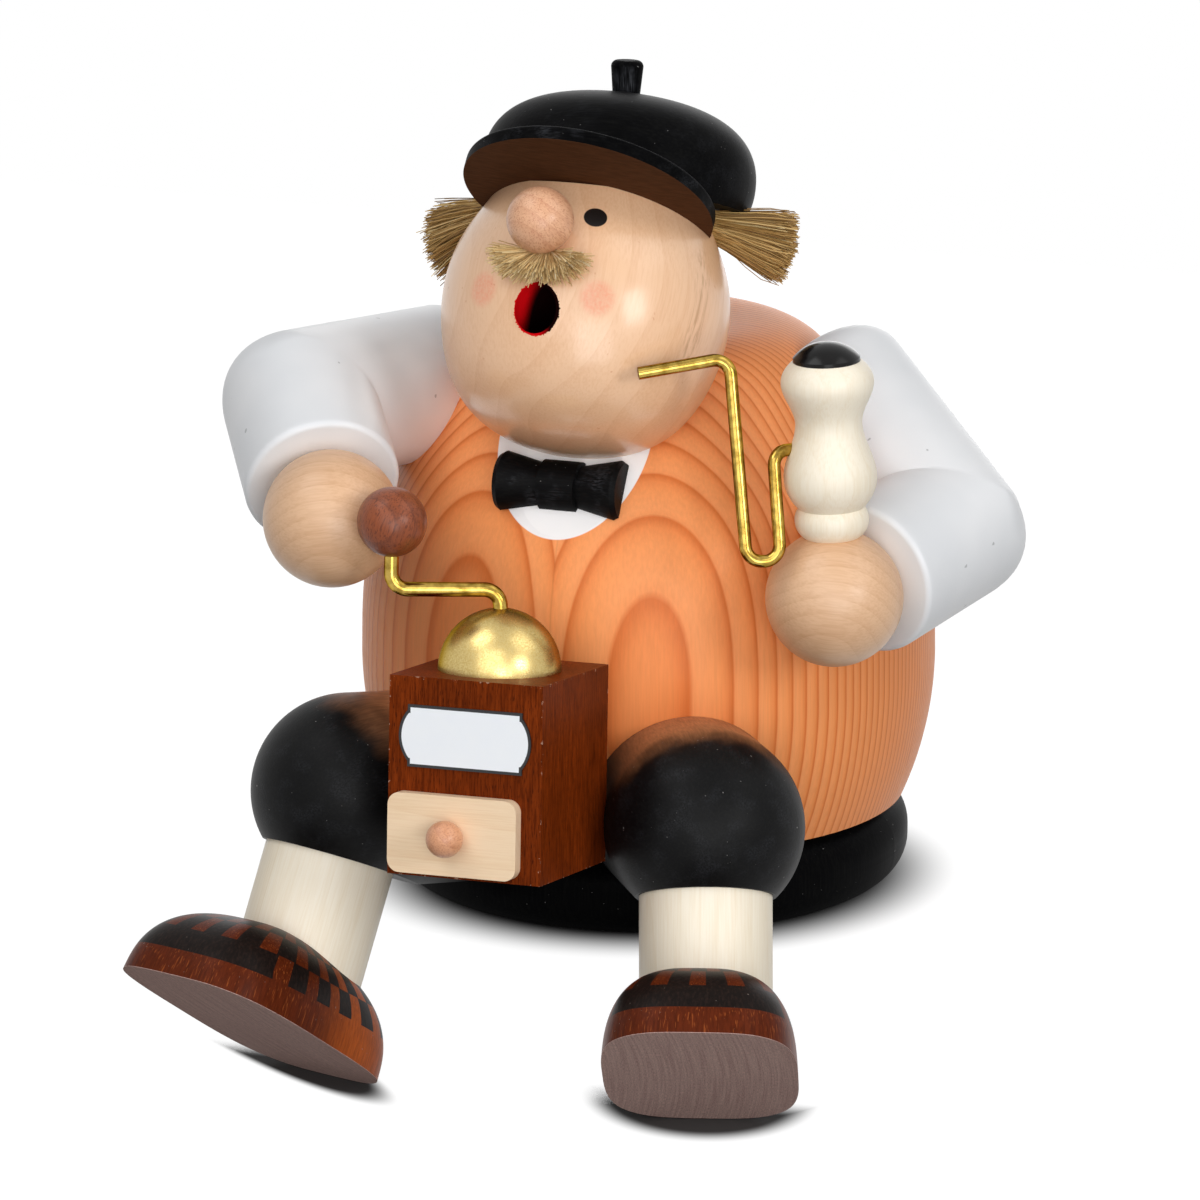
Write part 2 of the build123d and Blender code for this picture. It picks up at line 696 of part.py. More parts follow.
moustache_seat = head_seat * Pos(0, -moustache_face, moustache_rise)
moustache_plug = Rot(90, 0, 0) * Cylinder(moustache_plug_radius, moustache_plug_length)
moustache_hole = Rot(90, 0, 0) * Cylinder(moustache_plug_radius + dowel_gap,
                                          moustache_plug_length + hole_extra)
moustache_strands = []
for layer in range(moustache_layers):
    for step in range(moustache_fan):
        swing = math.radians(moustache_half_angle) * (2.0 * step / (moustache_fan - 1) - 1.0)
        away = Vector(math.sin(swing), 0, -math.cos(swing))
        across = Vector(math.cos(swing), 0, math.sin(swing))
        swell = (moustache_reach - moustache_drop) * abs(math.sin(swing))
        reach = moustache_drop + swell - moustache_layer * layer
        base = away * moustache_start - Vector(0, moustache_lift + moustache_layer * layer, 0)
        tip = away * reach - Vector(0, moustache_tip_lift + moustache_tip_layer * layer, 0)
        moustache_strands.append(strand(base, tip, across, Vector(0, 1, 0),
                                        moustache_strand_root, moustache_strand_tip))
moustache = moustache_seat * moustache_plug.fuse(*moustache_strands)
moustache -= ball(nose_center, nose_radius + glue_gap)
head -= moustache_seat * moustache_hole

# Hand-in
nodes = {
    "seat_disc": seat_disc, "incense_dish": dish, "dish_pins": Compound(pins), "body": body,
    "neck_tube": neck_tube, "bow_tie": tie, "head": head, "nose": nose, "moustache": moustache,
    "hair_left": hair_left, "hair_right": hair_right, "cap_peak": peak, "cap_crown": crown, "cap_stem": stem,
    "shoulder_dowels": shoulder_dowels, "pipe_bowl": bowl, "pipe_lid": lid, "pipe_stem": pipe_wire,
    "mill_box": mill_box, "mill_dome": dome, "mill_crank": crank, "crank_knob": knob, "mill_label": label,
    "drawer_front": drawer, "drawer_knob": drawer_knob, "hip_dowels": pair(hip_rod),
    "elbow_dowels": arms["left"]["elbow"] + arms["right"]["elbow"],
    "wrist_dowels": arms["left"]["wrist"] + arms["right"]["wrist"],
}
for side in ("left", "right"):
    nodes["upper_arm_" + side] = arms[side]["upper"]
    nodes["forearm_" + side] = arms[side]["fore"]
    nodes["hand_" + side] = arms[side]["palm"]
    nodes["thigh_" + side] = thighs[side]
    nodes["lower_leg_" + side] = lower_legs[side]
    nodes["slipper_" + side] = shoes[side]
for name, shape in nodes.items():
    save(name, shape)
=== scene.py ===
import math
import random

import bmesh
import bpy
from mathutils import Matrix, Vector
from mathutils.bvhtree import BVHTree


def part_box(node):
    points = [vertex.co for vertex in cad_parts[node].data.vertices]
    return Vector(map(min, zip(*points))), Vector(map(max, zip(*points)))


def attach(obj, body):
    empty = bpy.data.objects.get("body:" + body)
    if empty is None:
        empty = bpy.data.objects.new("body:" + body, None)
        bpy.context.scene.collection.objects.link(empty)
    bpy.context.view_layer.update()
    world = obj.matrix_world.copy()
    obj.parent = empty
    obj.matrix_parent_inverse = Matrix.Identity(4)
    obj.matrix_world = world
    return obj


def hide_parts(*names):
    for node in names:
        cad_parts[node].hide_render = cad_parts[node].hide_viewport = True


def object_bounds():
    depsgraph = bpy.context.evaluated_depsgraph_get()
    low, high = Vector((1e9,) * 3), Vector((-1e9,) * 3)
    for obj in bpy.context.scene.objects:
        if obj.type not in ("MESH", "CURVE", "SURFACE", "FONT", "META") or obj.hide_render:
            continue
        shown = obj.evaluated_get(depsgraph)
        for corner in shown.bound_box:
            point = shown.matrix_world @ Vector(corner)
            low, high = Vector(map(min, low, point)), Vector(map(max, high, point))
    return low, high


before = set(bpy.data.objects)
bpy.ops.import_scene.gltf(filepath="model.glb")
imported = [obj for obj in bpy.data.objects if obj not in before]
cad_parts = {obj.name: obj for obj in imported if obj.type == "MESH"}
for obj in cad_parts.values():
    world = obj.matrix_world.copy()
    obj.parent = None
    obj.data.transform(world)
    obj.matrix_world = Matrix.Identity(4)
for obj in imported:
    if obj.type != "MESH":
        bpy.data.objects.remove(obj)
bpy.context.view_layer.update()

MM = 0.001

# Places of the pieces that the paint follows, in millimetres of the shared frame
HEAD_CENTER = Vector((0.0, -30.4, 99.2))
HEAD_TILT = 30.0
CHEST_TILT = 57.0
CHEST_OFFSET = 71.7
MILL_CENTER = Vector((0.6, -71.1, 36.0))
MILL_TURN = -2.75
MILL_ROLL = -1.75
MILL_LEAN = 6.5
MILL_HALF = Vector((13.0, 13.0, 15.7))
SOLE_CENTER = Vector((37.76, -80.8, -7.55))
TOE_OUT = 17.4
TOE_UP = 34.0
SOLE_HALF = (24.16, 15.27)
LABEL_UP = 6.4
LABEL_HALF = (9.7, 4.9)
LABEL_LOBE = 1.5
LABEL_LOBE_HALF = 4.0
LABEL_BORDER = 0.42
LABEL_BORDER_EDGE = 0.08
# Middle of the shoulder, the elbow and the hand
ARMS = {
    "left": (Vector((32.7, 2.7, 81.3)), Vector((54.0, -10.0, 64.5)), Vector((45.5, -40.0, 60.0))),
    "right": (Vector((-34.0, -11.0, 81.7)), Vector((-44.0, -42.0, 84.0)), Vector((-30.0, -64.0, 72.0))),
}
ELBOW_ROUND = {"left": 9.0, "right": 8.5}
PEAK_CENTER = Vector((1.2, -32.0, 118.95))
PEAK_TILT = 40.0
PEAK_ROLL = 0.6
KNEE = Vector((30.2, -57.2, 25.5))
THIGH_START = Vector((0.0, 0.0, 23.5))
THIGH_RADIUS = 15.67
SHIN_WAY = Vector((0.16, -0.439, -1.0)).normalized()
CRANK_KNOB = Vector((-16.2, -73.2, 74.9))
CHAMBER_RADIUS = 30.6
CHAMBER_TOP = 76.6
UP = Vector((0, 0, 1))

# Camera: the photograph's view, its scale and where the origin falls in the 1200 pixel frame
VIEW_AZIMUTH = 19.82
VIEW_ELEVATION = 16.69
VIEW_DISTANCE = 1.4851
FOCAL_PIXELS = 9000.0
FRAME_PIXELS = 1200.0
ORIGIN_PIXEL = (648.7, 865.6)
SENSOR_MM = 36.0
CLIP = (0.05, 20.0)

# Noise lies mostly between these two values
NOISE_LOW = 0.3
NOISE_HIGH = 0.7

# Tones of the strands, from 0 for dark to 1 for light
TONE_MIDDLE = 0.5
TONE_SPREAD = 0.22

# Metal turns to this tint at its edges
EDGE_TINT = (0.3, 0.2, 0.06, 1.0)

# Stage: the painted shadow pools around the seat disc and under the soles, and how far each one fades out
WHITE = (1.0, 1.0, 1.0, 1.0)
STAGE_GREY = (0.1, 0.1, 0.1, 1.0)
DISC_POOL_SHARE = 0.86
DISC_POOL_FADE = 0.43
SOLE_POOL_BACK = 5.0
SOLE_POOL_NEARER = 5.0
SOLE_POOL_GROW = (1.6, -0.8)
SOLE_POOL_FADE = 0.36
SOLE_POOL_LAMP = (0.0, 0.03, 1.0)
SOLE_POOL_END = (-56.0, -48.0)
# A sole's painted shadow pool is gone where nothing stands within this height, in metres, over the floor
POOL_HEIGHT = 0.02
POOL_OPEN = (0.95, 0.995)
POOL_SAMPLES = 16

# Sheets of the stage, in metres
STAGE_GAP = 0.0002
STAGE_REACH = 0.45
SHELF_FRONT = -0.047
TONGUE_FRONT = -0.078
TONGUE_HALF = 0.018

# Soft boxes: the direction as right, up and back of the view, the side in metres and the power in watts
LAMP_DISTANCE = 1.0
LAMP_AIM = Vector((0.0, -0.03, 0.06))
LAMPS = {
    "top_left": ((-0.47, 0.77, 0.41), 0.5, 2.1),
    "front_right": ((0.62, 0.1, 0.76), 0.3, 2.6),
    "front_left": ((-0.26, 0.2, 0.94), 0.8, 3.3),
    "low_front": ((0.15, -0.25, 0.95), 0.5, 3.1),
    "top_right": ((0.6, 0.69, 0.4), 0.6, 1.4),
    "back_fill": ((0.2, 0.45, -0.87), 0.6, 1.2),
}
AMBIENT_STRENGTH = 0.16


def srgb(red, green, blue):
    """A colour as it shows on screen, 0 to 255, as linear light."""
    def linear(value):
        share = value / 255.0
        return share / 12.92 if share <= 0.04045 else ((share + 0.055) / 1.055) ** 2.4
    return (linear(red), linear(green), linear(blue), 1.0)


def turn_about(axis, degrees):
    return Matrix.Rotation(math.radians(degrees), 3, axis)


def mirrored(left, side):
    """A point or direction of the left side, as it is on that side; side is 1 or -1."""
    return Vector((left.x * side, left.y, left.z))


def head_axes():
    """Right, forward and up of the head."""
    tilt = math.radians(HEAD_TILT)
    right = Vector((1, 0, 0))
    forward = Vector((0, -math.cos(tilt), math.sin(tilt)))
    up = Vector((0, math.sin(tilt), math.cos(tilt)))
    return right, forward, up


def mill_axes():
    """Right, back and up of the mill."""
    turn = turn_about("Z", MILL_TURN) @ turn_about("Y", MILL_ROLL) @ turn_about("X", -MILL_LEAN)
    return tuple(turn.col)


def shoe_axes(side):
    """Toe, outward and up of a slipper; side is 1 for the left one."""
    out = math.radians(TOE_OUT)
    rise = math.radians(TOE_UP)
    toe = Vector((side * math.sin(out) * math.cos(rise), -math.cos(out) * math.cos(rise), math.sin(rise)))
    across = Vector((math.cos(out) * side, math.sin(out), 0))
    up = toe.cross(across) * side
    return toe, across, up


class Paint:
    """A material under construction. Positions are in millimetres of the shared frame."""

    def __init__(self, name):
        self.material = bpy.data.materials.new(name)
        self.material.use_nodes = True
        self.tree = self.material.node_tree
        self.shader = self.tree.nodes["Principled BSDF"]
        coords = self.add("ShaderNodeTexCoord").outputs["Object"]
        self.spot = self.vector("SCALE", coords, scale=1.0 / MM)

    def add(self, kind, inputs=None, **settings):
        made = self.tree.nodes.new(kind)
        for key, value in settings.items():
            setattr(made, key, value)
        for key, value in (inputs or {}).items():
            self.feed(made.inputs[key], value)
        return made

    def feed(self, socket, value):
        if isinstance(value, bpy.types.NodeSocket):
            self.tree.links.new(value, socket)
        else:
            socket.default_value = value

    def math(self, operation, first, second=0.0, clamp=False):
        made = self.add("ShaderNodeMath", {0: first, 1: second}, operation=operation, use_clamp=clamp)
        return made.outputs[0]

    def times(self, first, second):
        return self.math("MULTIPLY", first, second)

    def plus(self, first, second, clamp=False):
        return self.math("ADD", first, second, clamp)

    def minus(self, first, second):
        return self.math("SUBTRACT", first, second)

    def vector(self, operation, first, second=(0, 0, 0), scale=1.0):
        made = self.add("ShaderNodeVectorMath", {0: first}, operation=operation)
        if operation == "SCALE":
            self.feed(made.inputs["Scale"], scale)
        else:
            self.feed(made.inputs[1], second)
        number = operation in ("DOT_PRODUCT", "LENGTH", "DISTANCE")
        return made.outputs["Value" if number else "Vector"]

    def dot(self, first, second):
        return self.vector("DOT_PRODUCT", first, second)

    def length(self, vector):
        return self.vector("LENGTH", vector)

    def split(self, vector):
        return self.add("ShaderNodeSeparateXYZ", {0: vector}).outputs

    def join(self, x, y, z):
        return self.add("ShaderNodeCombineXYZ", {0: x, 1: y, 2: z}).outputs[0]

    def local(self, origin, axes):
        """The position along three axes from an origin, as a vector."""
        offset = self.vector("SUBTRACT", self.spot, origin)
        along = [self.dot(offset, axis) for axis in axes]
        return self.join(*along)

    def along_grain(self, origin, grain):
        """The position from an origin, with the third axis along the grain."""
        side = grain.orthogonal().normalized()
        return self.local(origin, (side, grain.cross(side), grain))

    def stretch(self, vector, by):
        return self.vector("MULTIPLY", vector, by)

    def noise(self, vector, scale, detail=2.0, rough=0.5):
        made = self.add("ShaderNodeTexNoise", {"Vector": vector, "Scale": scale, "Detail": detail,
                                               "Roughness": rough})
        return made.outputs["Fac"]

    def drawn_noise(self, vector, across, along, detail, rough=0.5):
        """Noise drawn out along the third axis; across and along are its rates per millimetre."""
        return self.noise(self.stretch(vector, (across, across, along)), 1.0, detail, rough)

    def between(self, value, low, high, first=0.0, last=1.0, smooth=True):
        made = self.add("ShaderNodeMapRange", {"Value": value, "From Min": low, "From Max": high,
                                               "To Min": first, "To Max": last})
        made.interpolation_type = "SMOOTHSTEP" if smooth else "LINEAR"
        return made.outputs["Result"]

    def spread(self, noise, first=0.0, last=1.0):
        """Noise with its usual range stretched between two values."""
        return self.between(noise, NOISE_LOW, NOISE_HIGH, first, last)

    def ramp(self, value, stops):
        made = self.add("ShaderNodeValToRGB", {"Fac": value})
        elements = made.color_ramp.elements
        while len(elements) < len(stops):
            elements.new(1.0)
        for element, (place, colour) in zip(elements, stops):
            element.position = place
            element.color = colour
        return made.outputs["Color"]

    def mix(self, share, first, second):
        made = self.add("ShaderNodeMix", {0: share, 6: first, 7: second}, data_type="RGBA")
        return made.outputs[2]

    def shade(self, colour, share):
        """The colour made darker or lighter by a share around 1."""
        made = self.add("ShaderNodeMix", {0: 1.0, 6: colour, 7: self.join(share, share, share)},
                        data_type="RGBA", blend_type="MULTIPLY")
        return made.outputs[2]

    def bump(self, height, depth, strength=1.0):
        made = self.add("ShaderNodeBump", {"Height": height, "Distance": depth * MM, "Strength": strength})
        self.feed(self.shader.inputs["Normal"], made.outputs["Normal"])

    def finish(self, colour, rough, **fixed):
        self.feed(self.shader.inputs["Base Color"], colour)
        self.feed(self.shader.inputs["Roughness"], rough)
        for name, value in fixed.items():
            self.shader.inputs[name.replace("_", " ")].default_value = value
        return self.material


def fibres(paint, place, fine=3.0, long=0.12):
    """Fine streaks along the place's third axis."""
    return paint.drawn_noise(place, across=fine, along=long, detail=3.0, rough=0.6)


def rings(paint, place, pith, spacing):
    """Growth rings round a pith line along the place's third axis, 0 to 1 across each ring."""
    wobble, taper = 2.0, 0.03
    drift = paint.drawn_noise(place, across=0.05, along=0.02, detail=1.0)
    flat = paint.stretch(paint.vector("SUBTRACT", place, pith), (1, 1, taper))
    reach = paint.plus(paint.length(flat), paint.times(drift, wobble * spacing))
    return paint.math("FRACT", paint.math("DIVIDE", reach, spacing))


def plain_wood(paint, place, light, dark, pith, spacing, ring=0.35, fibre=0.35):
    """A quiet turned hardwood: soft rings and fine streaks between two colours."""
    band = rings(paint, place, pith, spacing)
    line = paint.math("POWER", band, 3.0)
    streak = paint.between(fibres(paint, place), 0.35, 0.7)
    share = paint.plus(paint.times(line, ring), paint.times(streak, fibre))
    cloud = paint.drawn_noise(place, across=0.08, along=0.03, detail=2.0)
    share = paint.plus(share, paint.spread(cloud, -0.12, 0.12), clamp=True)
    paint.bump(streak, depth=0.02, strength=0.5)
    return paint.mix(share, light, dark)


def specks(paint, place, colour, scale, limits, amount, speck):
    """The colour with specks where fine noise rises between two limits."""
    share = paint.between(paint.noise(place, scale, 1.0), limits[0], limits[1], 0.0, amount)
    return paint.mix(share, colour, speck)


def within(paint, place, center, radius, edge):
    """1 inside a ball of that radius, with a soft edge."""
    distance = paint.vector("DISTANCE", place, center)
    return paint.between(distance, radius + edge, radius - edge)


def orange_body():
    """Stained softwood glued from quarters, each with its own ring centre in front of the turned face."""
    pith_reach, pith_angle = 68.3, 20.3
    ring_rate, ring_power, ring_start = 0.001085, 2.4, 0.13
    pith_lean, ring_drift = 0.012, 1.6
    bib_center, bib_half, bib_edge = (-0.9, 50.4), (12.9, 18.3), 0.006
    bib_depth, bib_depth_edge = 6.0, 0.5
    chamber_edge = (0.4, 0.8)
    paint = Paint("orange_wood")
    x, y, z = paint.split(paint.spot)
    drift = paint.drawn_noise(paint.spot, across=0.022, along=0.012, detail=1.0)
    drift = paint.between(drift, 0.2, 0.8, -ring_drift, ring_drift, smooth=False)
    lean = paint.times(z, pith_lean)
    angle = math.radians(pith_angle)
    right = paint.minus(paint.math("ABSOLUTE", x), pith_reach * math.sin(angle))
    ahead = paint.minus(paint.math("ABSOLUTE", y), pith_reach * math.cos(angle))
    reach = paint.length(paint.join(paint.plus(right, lean), ahead, 0.0))
    reach = paint.plus(reach, drift)
    count = paint.times(paint.math("POWER", reach, ring_power), ring_rate)
    band = paint.math("FRACT", paint.minus(count, ring_start))
    wood = paint.ramp(band, [
        (0.0, srgb(246, 156, 95)), (0.12, srgb(250, 162, 101)), (0.5, srgb(248, 157, 94)),
        (0.75, srgb(241, 145, 82)), (0.9, srgb(222, 121, 61)), (0.94, srgb(219, 117, 58)),
        (1.0, srgb(246, 156, 95))])
    streak = fibres(paint, paint.spot, fine=2.4, long=0.1)
    wood = paint.shade(wood, paint.between(streak, 0.25, 0.75, 0.95, 1.04))
    cloud = paint.drawn_noise(paint.spot, across=0.03, along=0.02, detail=2.0)
    wood = paint.shade(wood, paint.spread(cloud, 0.95, 1.04))
    seam = paint.between(paint.math("ABSOLUTE", x), 0.05, 0.22, 0.9, 1.0)
    wood = paint.shade(wood, seam)
    tilt = math.radians(CHEST_TILT)
    chest = paint.dot(paint.spot, (0, -math.sin(tilt), math.cos(tilt)))
    rise = paint.dot(paint.spot, (0, math.cos(tilt), math.sin(tilt)))
    across = paint.math("DIVIDE", paint.minus(x, bib_center[0]), bib_half[0])
    along = paint.math("DIVIDE", paint.minus(rise, bib_center[1]), bib_half[1])
    from_middle = paint.length(paint.join(across, along, 0.0))
    bib_back = CHEST_OFFSET - bib_depth
    bib = paint.times(paint.between(from_middle, 1.0 + bib_edge, 1.0 - bib_edge),
                      paint.between(chest, bib_back - bib_depth_edge, bib_back))
    colour = paint.mix(bib, wood, srgb(252, 252, 253))
    axis_reach = paint.length(paint.join(x, y, 0.0))
    inside = paint.times(paint.between(axis_reach, CHAMBER_RADIUS + chamber_edge[0], CHAMBER_RADIUS),
                         paint.between(z, CHAMBER_TOP + chamber_edge[1], CHAMBER_TOP))
    raw = paint.shade(srgb(205, 170, 125), paint.between(streak, 0.2, 0.8, 0.8, 1.08))
    colour = paint.mix(inside, colour, raw)
    paint.bump(paint.times(streak, paint.minus(1.0, bib)), depth=0.03, strength=0.4)
    sheen = paint.drawn_noise(paint.spot, across=5, along=0.8, detail=2.0)
    rough = paint.spread(sheen, 0.36, 0.52)
    return paint.finish(colour, rough, Specular_IOR_Level=0.13, Coat_Weight=0.05, Coat_Roughness=0.22)


def skin(paint, place, light, dark, pith, spacing):
    """The fine, quiet wood of the head and the hands."""
    return plain_wood(paint, place, light, dark, pith, spacing, ring=0.24, fibre=0.28)


def head_face():
    """Natural hardwood with painted eyes, rouged cheeks and a red mouth, with painted shade darkening deep
    in the mouth and towards one side.
    """
    eye, eye_shift, eye_radius, eye_edge = (6.4, 19.86, 11.0), -0.2, 1.85, 0.06
    cheek, cheek_shift, cheek_radius, cheek_edge = (9.65, 20.5, -2.25), -0.5, 2.6, 0.9
    mouth = Vector((0, 23.6, -4.8))
    mouth_pitch = math.radians(14.0)
    mouth_radius, mouth_edge = 3.6, 0.08
    throat_shade = (1.3, 0, 0.8)
    coat, gloss = 0.7, 0.4
    paint = Paint("face_wood")
    right, forward, up = head_axes()
    place = paint.local(HEAD_CENTER, (right, forward, up))
    colour = skin(paint, place, srgb(240, 196, 157), srgb(218, 162, 117),
                  pith=(26.0, -14.0, 0.0), spacing=5.2)
    streak_at = paint.vector("DISTANCE", paint.stretch(place, (1, 1, 0.1)), (21.5, 7.5, 0.0))
    mineral = paint.times(paint.between(streak_at, 3.2, 0.4),
                          paint.between(fibres(paint, place, fine=1.6, long=0.05), 0.45, 0.65))
    colour = paint.mix(paint.times(mineral, 0.55), colour, srgb(176, 118, 66))
    colour = specks(paint, place, colour, 0.9, (0.76, 0.8), 0.45, srgb(205, 130, 92))
    blot = paint.between(paint.noise(place, scale=2.2, detail=2.0), 0.25, 0.75, 0.22, 0.52)
    for side in (-1, 1):
        at = (side * cheek[0] + cheek_shift, cheek[1], cheek[2])
        rouge = paint.times(within(paint, place, at, cheek_radius, cheek_edge), blot)
        colour = paint.mix(rouge, colour, srgb(240, 128, 98))
    inward = Vector((0, -math.cos(mouth_pitch), -math.sin(mouth_pitch)))
    offset = paint.vector("SUBTRACT", place, mouth)
    from_axis = paint.length(paint.vector("CROSS_PRODUCT", offset, inward))
    ragged = paint.between(paint.noise(place, scale=3.0, detail=2.0), 0.45, 0.8, 0.1, 0.45)
    rim = paint.minus(from_axis, ragged)
    red = paint.between(rim, mouth_radius + mouth_edge, mouth_radius)
    in_front = paint.between(paint.dot(place, (0, 1, 0)), 0.0, 1.0)
    # Painted shade: the mouth's red darkens deeper in the bore and towards one side
    depth = paint.dot(offset, inward)
    lit_side = paint.plus(depth, paint.dot(offset, throat_shade))
    red_and_painted_shade = paint.mix(paint.between(lit_side, 0.5, 4.0), srgb(214, 12, 20), srgb(20, 5, 5))
    in_mouth = paint.times(red, in_front)
    colour = paint.mix(in_mouth, colour, red_and_painted_shade)
    paint.feed(paint.shader.inputs["Coat Weight"], paint.between(in_mouth, 0.0, 1.0, coat, 0.0))
    paint.feed(paint.shader.inputs["Specular IOR Level"], paint.between(in_mouth, 0.0, 1.0, gloss, 0.0))
    eyes = 0.0
    for side in (-1, 1):
        at = (side * eye[0] + eye_shift, eye[1], eye[2])
        eyes = paint.plus(eyes, within(paint, place, at, eye_radius, eye_edge))
    colour = paint.mix(eyes, colour, srgb(14, 10, 9))
    return paint.finish(colour, rough=0.4, Coat_Roughness=0.2)


def hand_wood(name, center, grain):
    """The ball hands: the head's wood with closer rings."""
    paint = Paint(name)
    place = paint.along_grain(center, grain)
    colour = skin(paint, place, srgb(228, 186, 148), srgb(196, 144, 100),
                  pith=(14.0, 5.0, 0.0), spacing=2.2)
    return paint.finish(colour, rough=0.42, Coat_Weight=0.2, Coat_Roughness=0.3)


def fleck_wood(name, light, dark, center, grain, rough=0.38, coat=0.3):
    """Beech: a warm ground with short darker flecks along the grain."""
    paint = Paint(name)
    place = paint.along_grain(center, grain)
    ground = plain_wood(paint, place, light, dark, pith=(9.0, 2.0, 0.0), spacing=2.3, fibre=0.3)
    short = paint.drawn_noise(place, across=4.5, along=0.9, detail=1.0)
    colour = paint.mix(paint.between(short, 0.55, 0.64, 0.0, 0.65), ground, dark)
    return paint.finish(colour, rough, Specular_IOR_Level=0.3, Coat_Weight=coat, Coat_Roughness=0.25)


def pale_wood(name, center, grain):
    """The almost white wood of the pipe's bowl and the lower legs."""
    paint = Paint(name)
    place = paint.along_grain(center, grain)
    colour = plain_wood(paint, place, srgb(251, 241, 221), srgb(230, 208, 170),
                        pith=(20.0, 6.0, 0.0), spacing=3.0, ring=0.16, fibre=0.24)
    return paint.finish(colour, rough=0.46, Coat_Weight=0.12, Coat_Roughness=0.35)


def drawer_birch():
    """Pale wood with its grain across the drawer."""
    paint = Paint("drawer_wood")
    right, back, up = mill_axes()
    place = paint.local(MILL_CENTER, (back, up, right))
    colour = plain_wood(paint, place, srgb(247, 219, 184), srgb(228, 188, 142),
                        pith=(30.0, 12.0, 0.0), spacing=3.2, ring=0.25, fibre=0.3)
    return paint.finish(colour, rough=0.42, Coat_Weight=0.15, Coat_Roughness=0.3)


def raw_dowel():
    """Unstained wood of the hidden dowels and the smoke tube."""
    paint = Paint("dowel_wood")
    colour = plain_wood(paint, paint.spot, srgb(226, 192, 144), srgb(190, 146, 96),
                        pith=(60.0, 0.0, 0.0), spacing=2.5)
    return paint.finish(colour, rough=0.6)


def white_paint():
    """Satin paint over turned wood, with a few dark specks in it."""
    paint = Paint("white_paint")
    cloud = paint.noise(paint.spot, scale=0.06, detail=2.0)
    colour = paint.mix(paint.spread(cloud), srgb(238, 239, 241), srgb(229, 231, 234))
    colour = specks(paint, paint.spot, colour, 0.55, (0.795, 0.81), 0.5, srgb(120, 120, 122))
    paint.bump(paint.noise(paint.spot, scale=1.6, detail=2.0), depth=0.02, strength=0.35)
    return paint.finish(colour, rough=0.4, Coat_Weight=0.1, Coat_Roughness=0.3)


def black_stain(name, grain, rough=0.42, scuff=0.0, gloss=0.015, bare_below=None, brown_top_near=None):
    """Black stain that lets the grain through, with dust specks and scuffs.

    It can be brown under a plane, and brown on top of a leg near the body.
    """
    paint = Paint(name)
    place = paint.along_grain((0, 0, 0), grain)
    streak = fibres(paint, place, fine=2.6, long=0.14)
    colour = paint.mix(paint.between(streak, 0.4, 0.75), srgb(5, 5, 6), srgb(14, 14, 14))
    rub = paint.times(paint.between(paint.noise(place, scale=0.25, detail=3.0), 0.45, 0.7), scuff)
    rub = paint.times(rub, paint.between(fibres(paint, place, fine=4.0, long=0.3), 0.35, 0.7))
    colour = paint.mix(rub, colour, srgb(96, 98, 104))
    colour = specks(paint, paint.spot, colour, 1.7, (0.775, 0.8), 0.5, srgb(150, 148, 146))
    if brown_top_near is not None:
        # Brown on top of the thigh, fading out along the thigh away from the body
        knee, thigh_way = brown_top_near
        brown_from, brown_to = 5.0, -6.0
        low_share, high_share = 0.35, 0.88
        offset = paint.vector("SUBTRACT", paint.spot, knee)
        uneven = paint.spread(paint.noise(paint.spot, scale=0.12, detail=2.0), -2.0, 2.0)
        along = paint.plus(paint.dot(offset, thigh_way), uneven)
        behind = paint.between(along, brown_from, brown_to)
        height = paint.dot(offset, UP)
        on_top = paint.between(height, low_share * THIGH_RADIUS, high_share * THIGH_RADIUS)
        brown_top = paint.times(behind, on_top)
        brown = paint.shade(srgb(176, 120, 82), paint.between(streak, 0.2, 0.8, 0.7, 1.25))
        colour = paint.mix(brown_top, colour, brown)
    if bare_below is not None:
        point, normal = bare_below
        depth = paint.dot(paint.vector("SUBTRACT", paint.spot, point), normal)
        plane_low, plane_high = 0.02, 0.06
        under = paint.between(depth, plane_high, plane_low)
        brown = paint.shade(srgb(78, 49, 30), paint.between(streak, 0.2, 0.8, 0.75, 1.2))
        colour = paint.mix(under, colour, brown)
    paint.bump(streak, depth=0.04, strength=0.5)
    return paint.finish(colour, rough, Specular_IOR_Level=gloss)


def gloss_black():
    """The pipe lid's black lacquer."""
    paint = Paint("gloss_black")
    ripple = paint.noise(paint.spot, scale=0.35, detail=1.0)
    colour = paint.mix(paint.spread(ripple), srgb(12, 11, 11), srgb(20, 18, 18))
    paint.bump(ripple, depth=0.03, strength=0.3)
    return paint.finish(colour, rough=0.2, Specular_IOR_Level=0.18)


def mahogany():
    """Dark red stain, dark vertical pores, and pale chips along the box's edges."""
    paint = Paint("mill_wood")
    place = paint.local(MILL_CENTER, mill_axes())
    streak = fibres(paint, place, fine=2.6, long=0.22)
    pore = paint.drawn_noise(place, across=6.0, along=0.7, detail=1.0)
    colour = paint.mix(paint.between(streak, 0.3, 0.72), srgb(126, 51, 12), srgb(88, 31, 4))
    colour = paint.mix(paint.between(pore, 0.56, 0.7, 0.0, 0.75), colour, srgb(54, 18, 4))
    cloud = paint.drawn_noise(place, across=0.12, along=0.05, detail=2.0)
    colour = paint.shade(colour, paint.spread(cloud, 0.84, 1.12))
    gaps = []
    for half, along in zip(MILL_HALF, paint.split(place)):
        gaps.append(paint.minus(half, paint.math("ABSOLUTE", along)))
    edge = paint.plus(gaps[0], gaps[1])
    for gap in gaps[:2]:
        edge = paint.math("MINIMUM", edge, paint.plus(gap, gaps[2]))
    chip = paint.between(paint.noise(place, scale=1.1, detail=3.0, rough=0.7), 0.56, 0.7, -0.15, 0.4)
    worn = paint.between(paint.minus(edge, chip), 0.07, -0.03, 0.0, 0.6)
    colour = paint.mix(worn, colour, srgb(196, 160, 138))
    paint.bump(paint.minus(streak, pore), depth=0.04, strength=0.4)
    return paint.finish(colour, rough=0.4, Specular_IOR_Level=0.04)


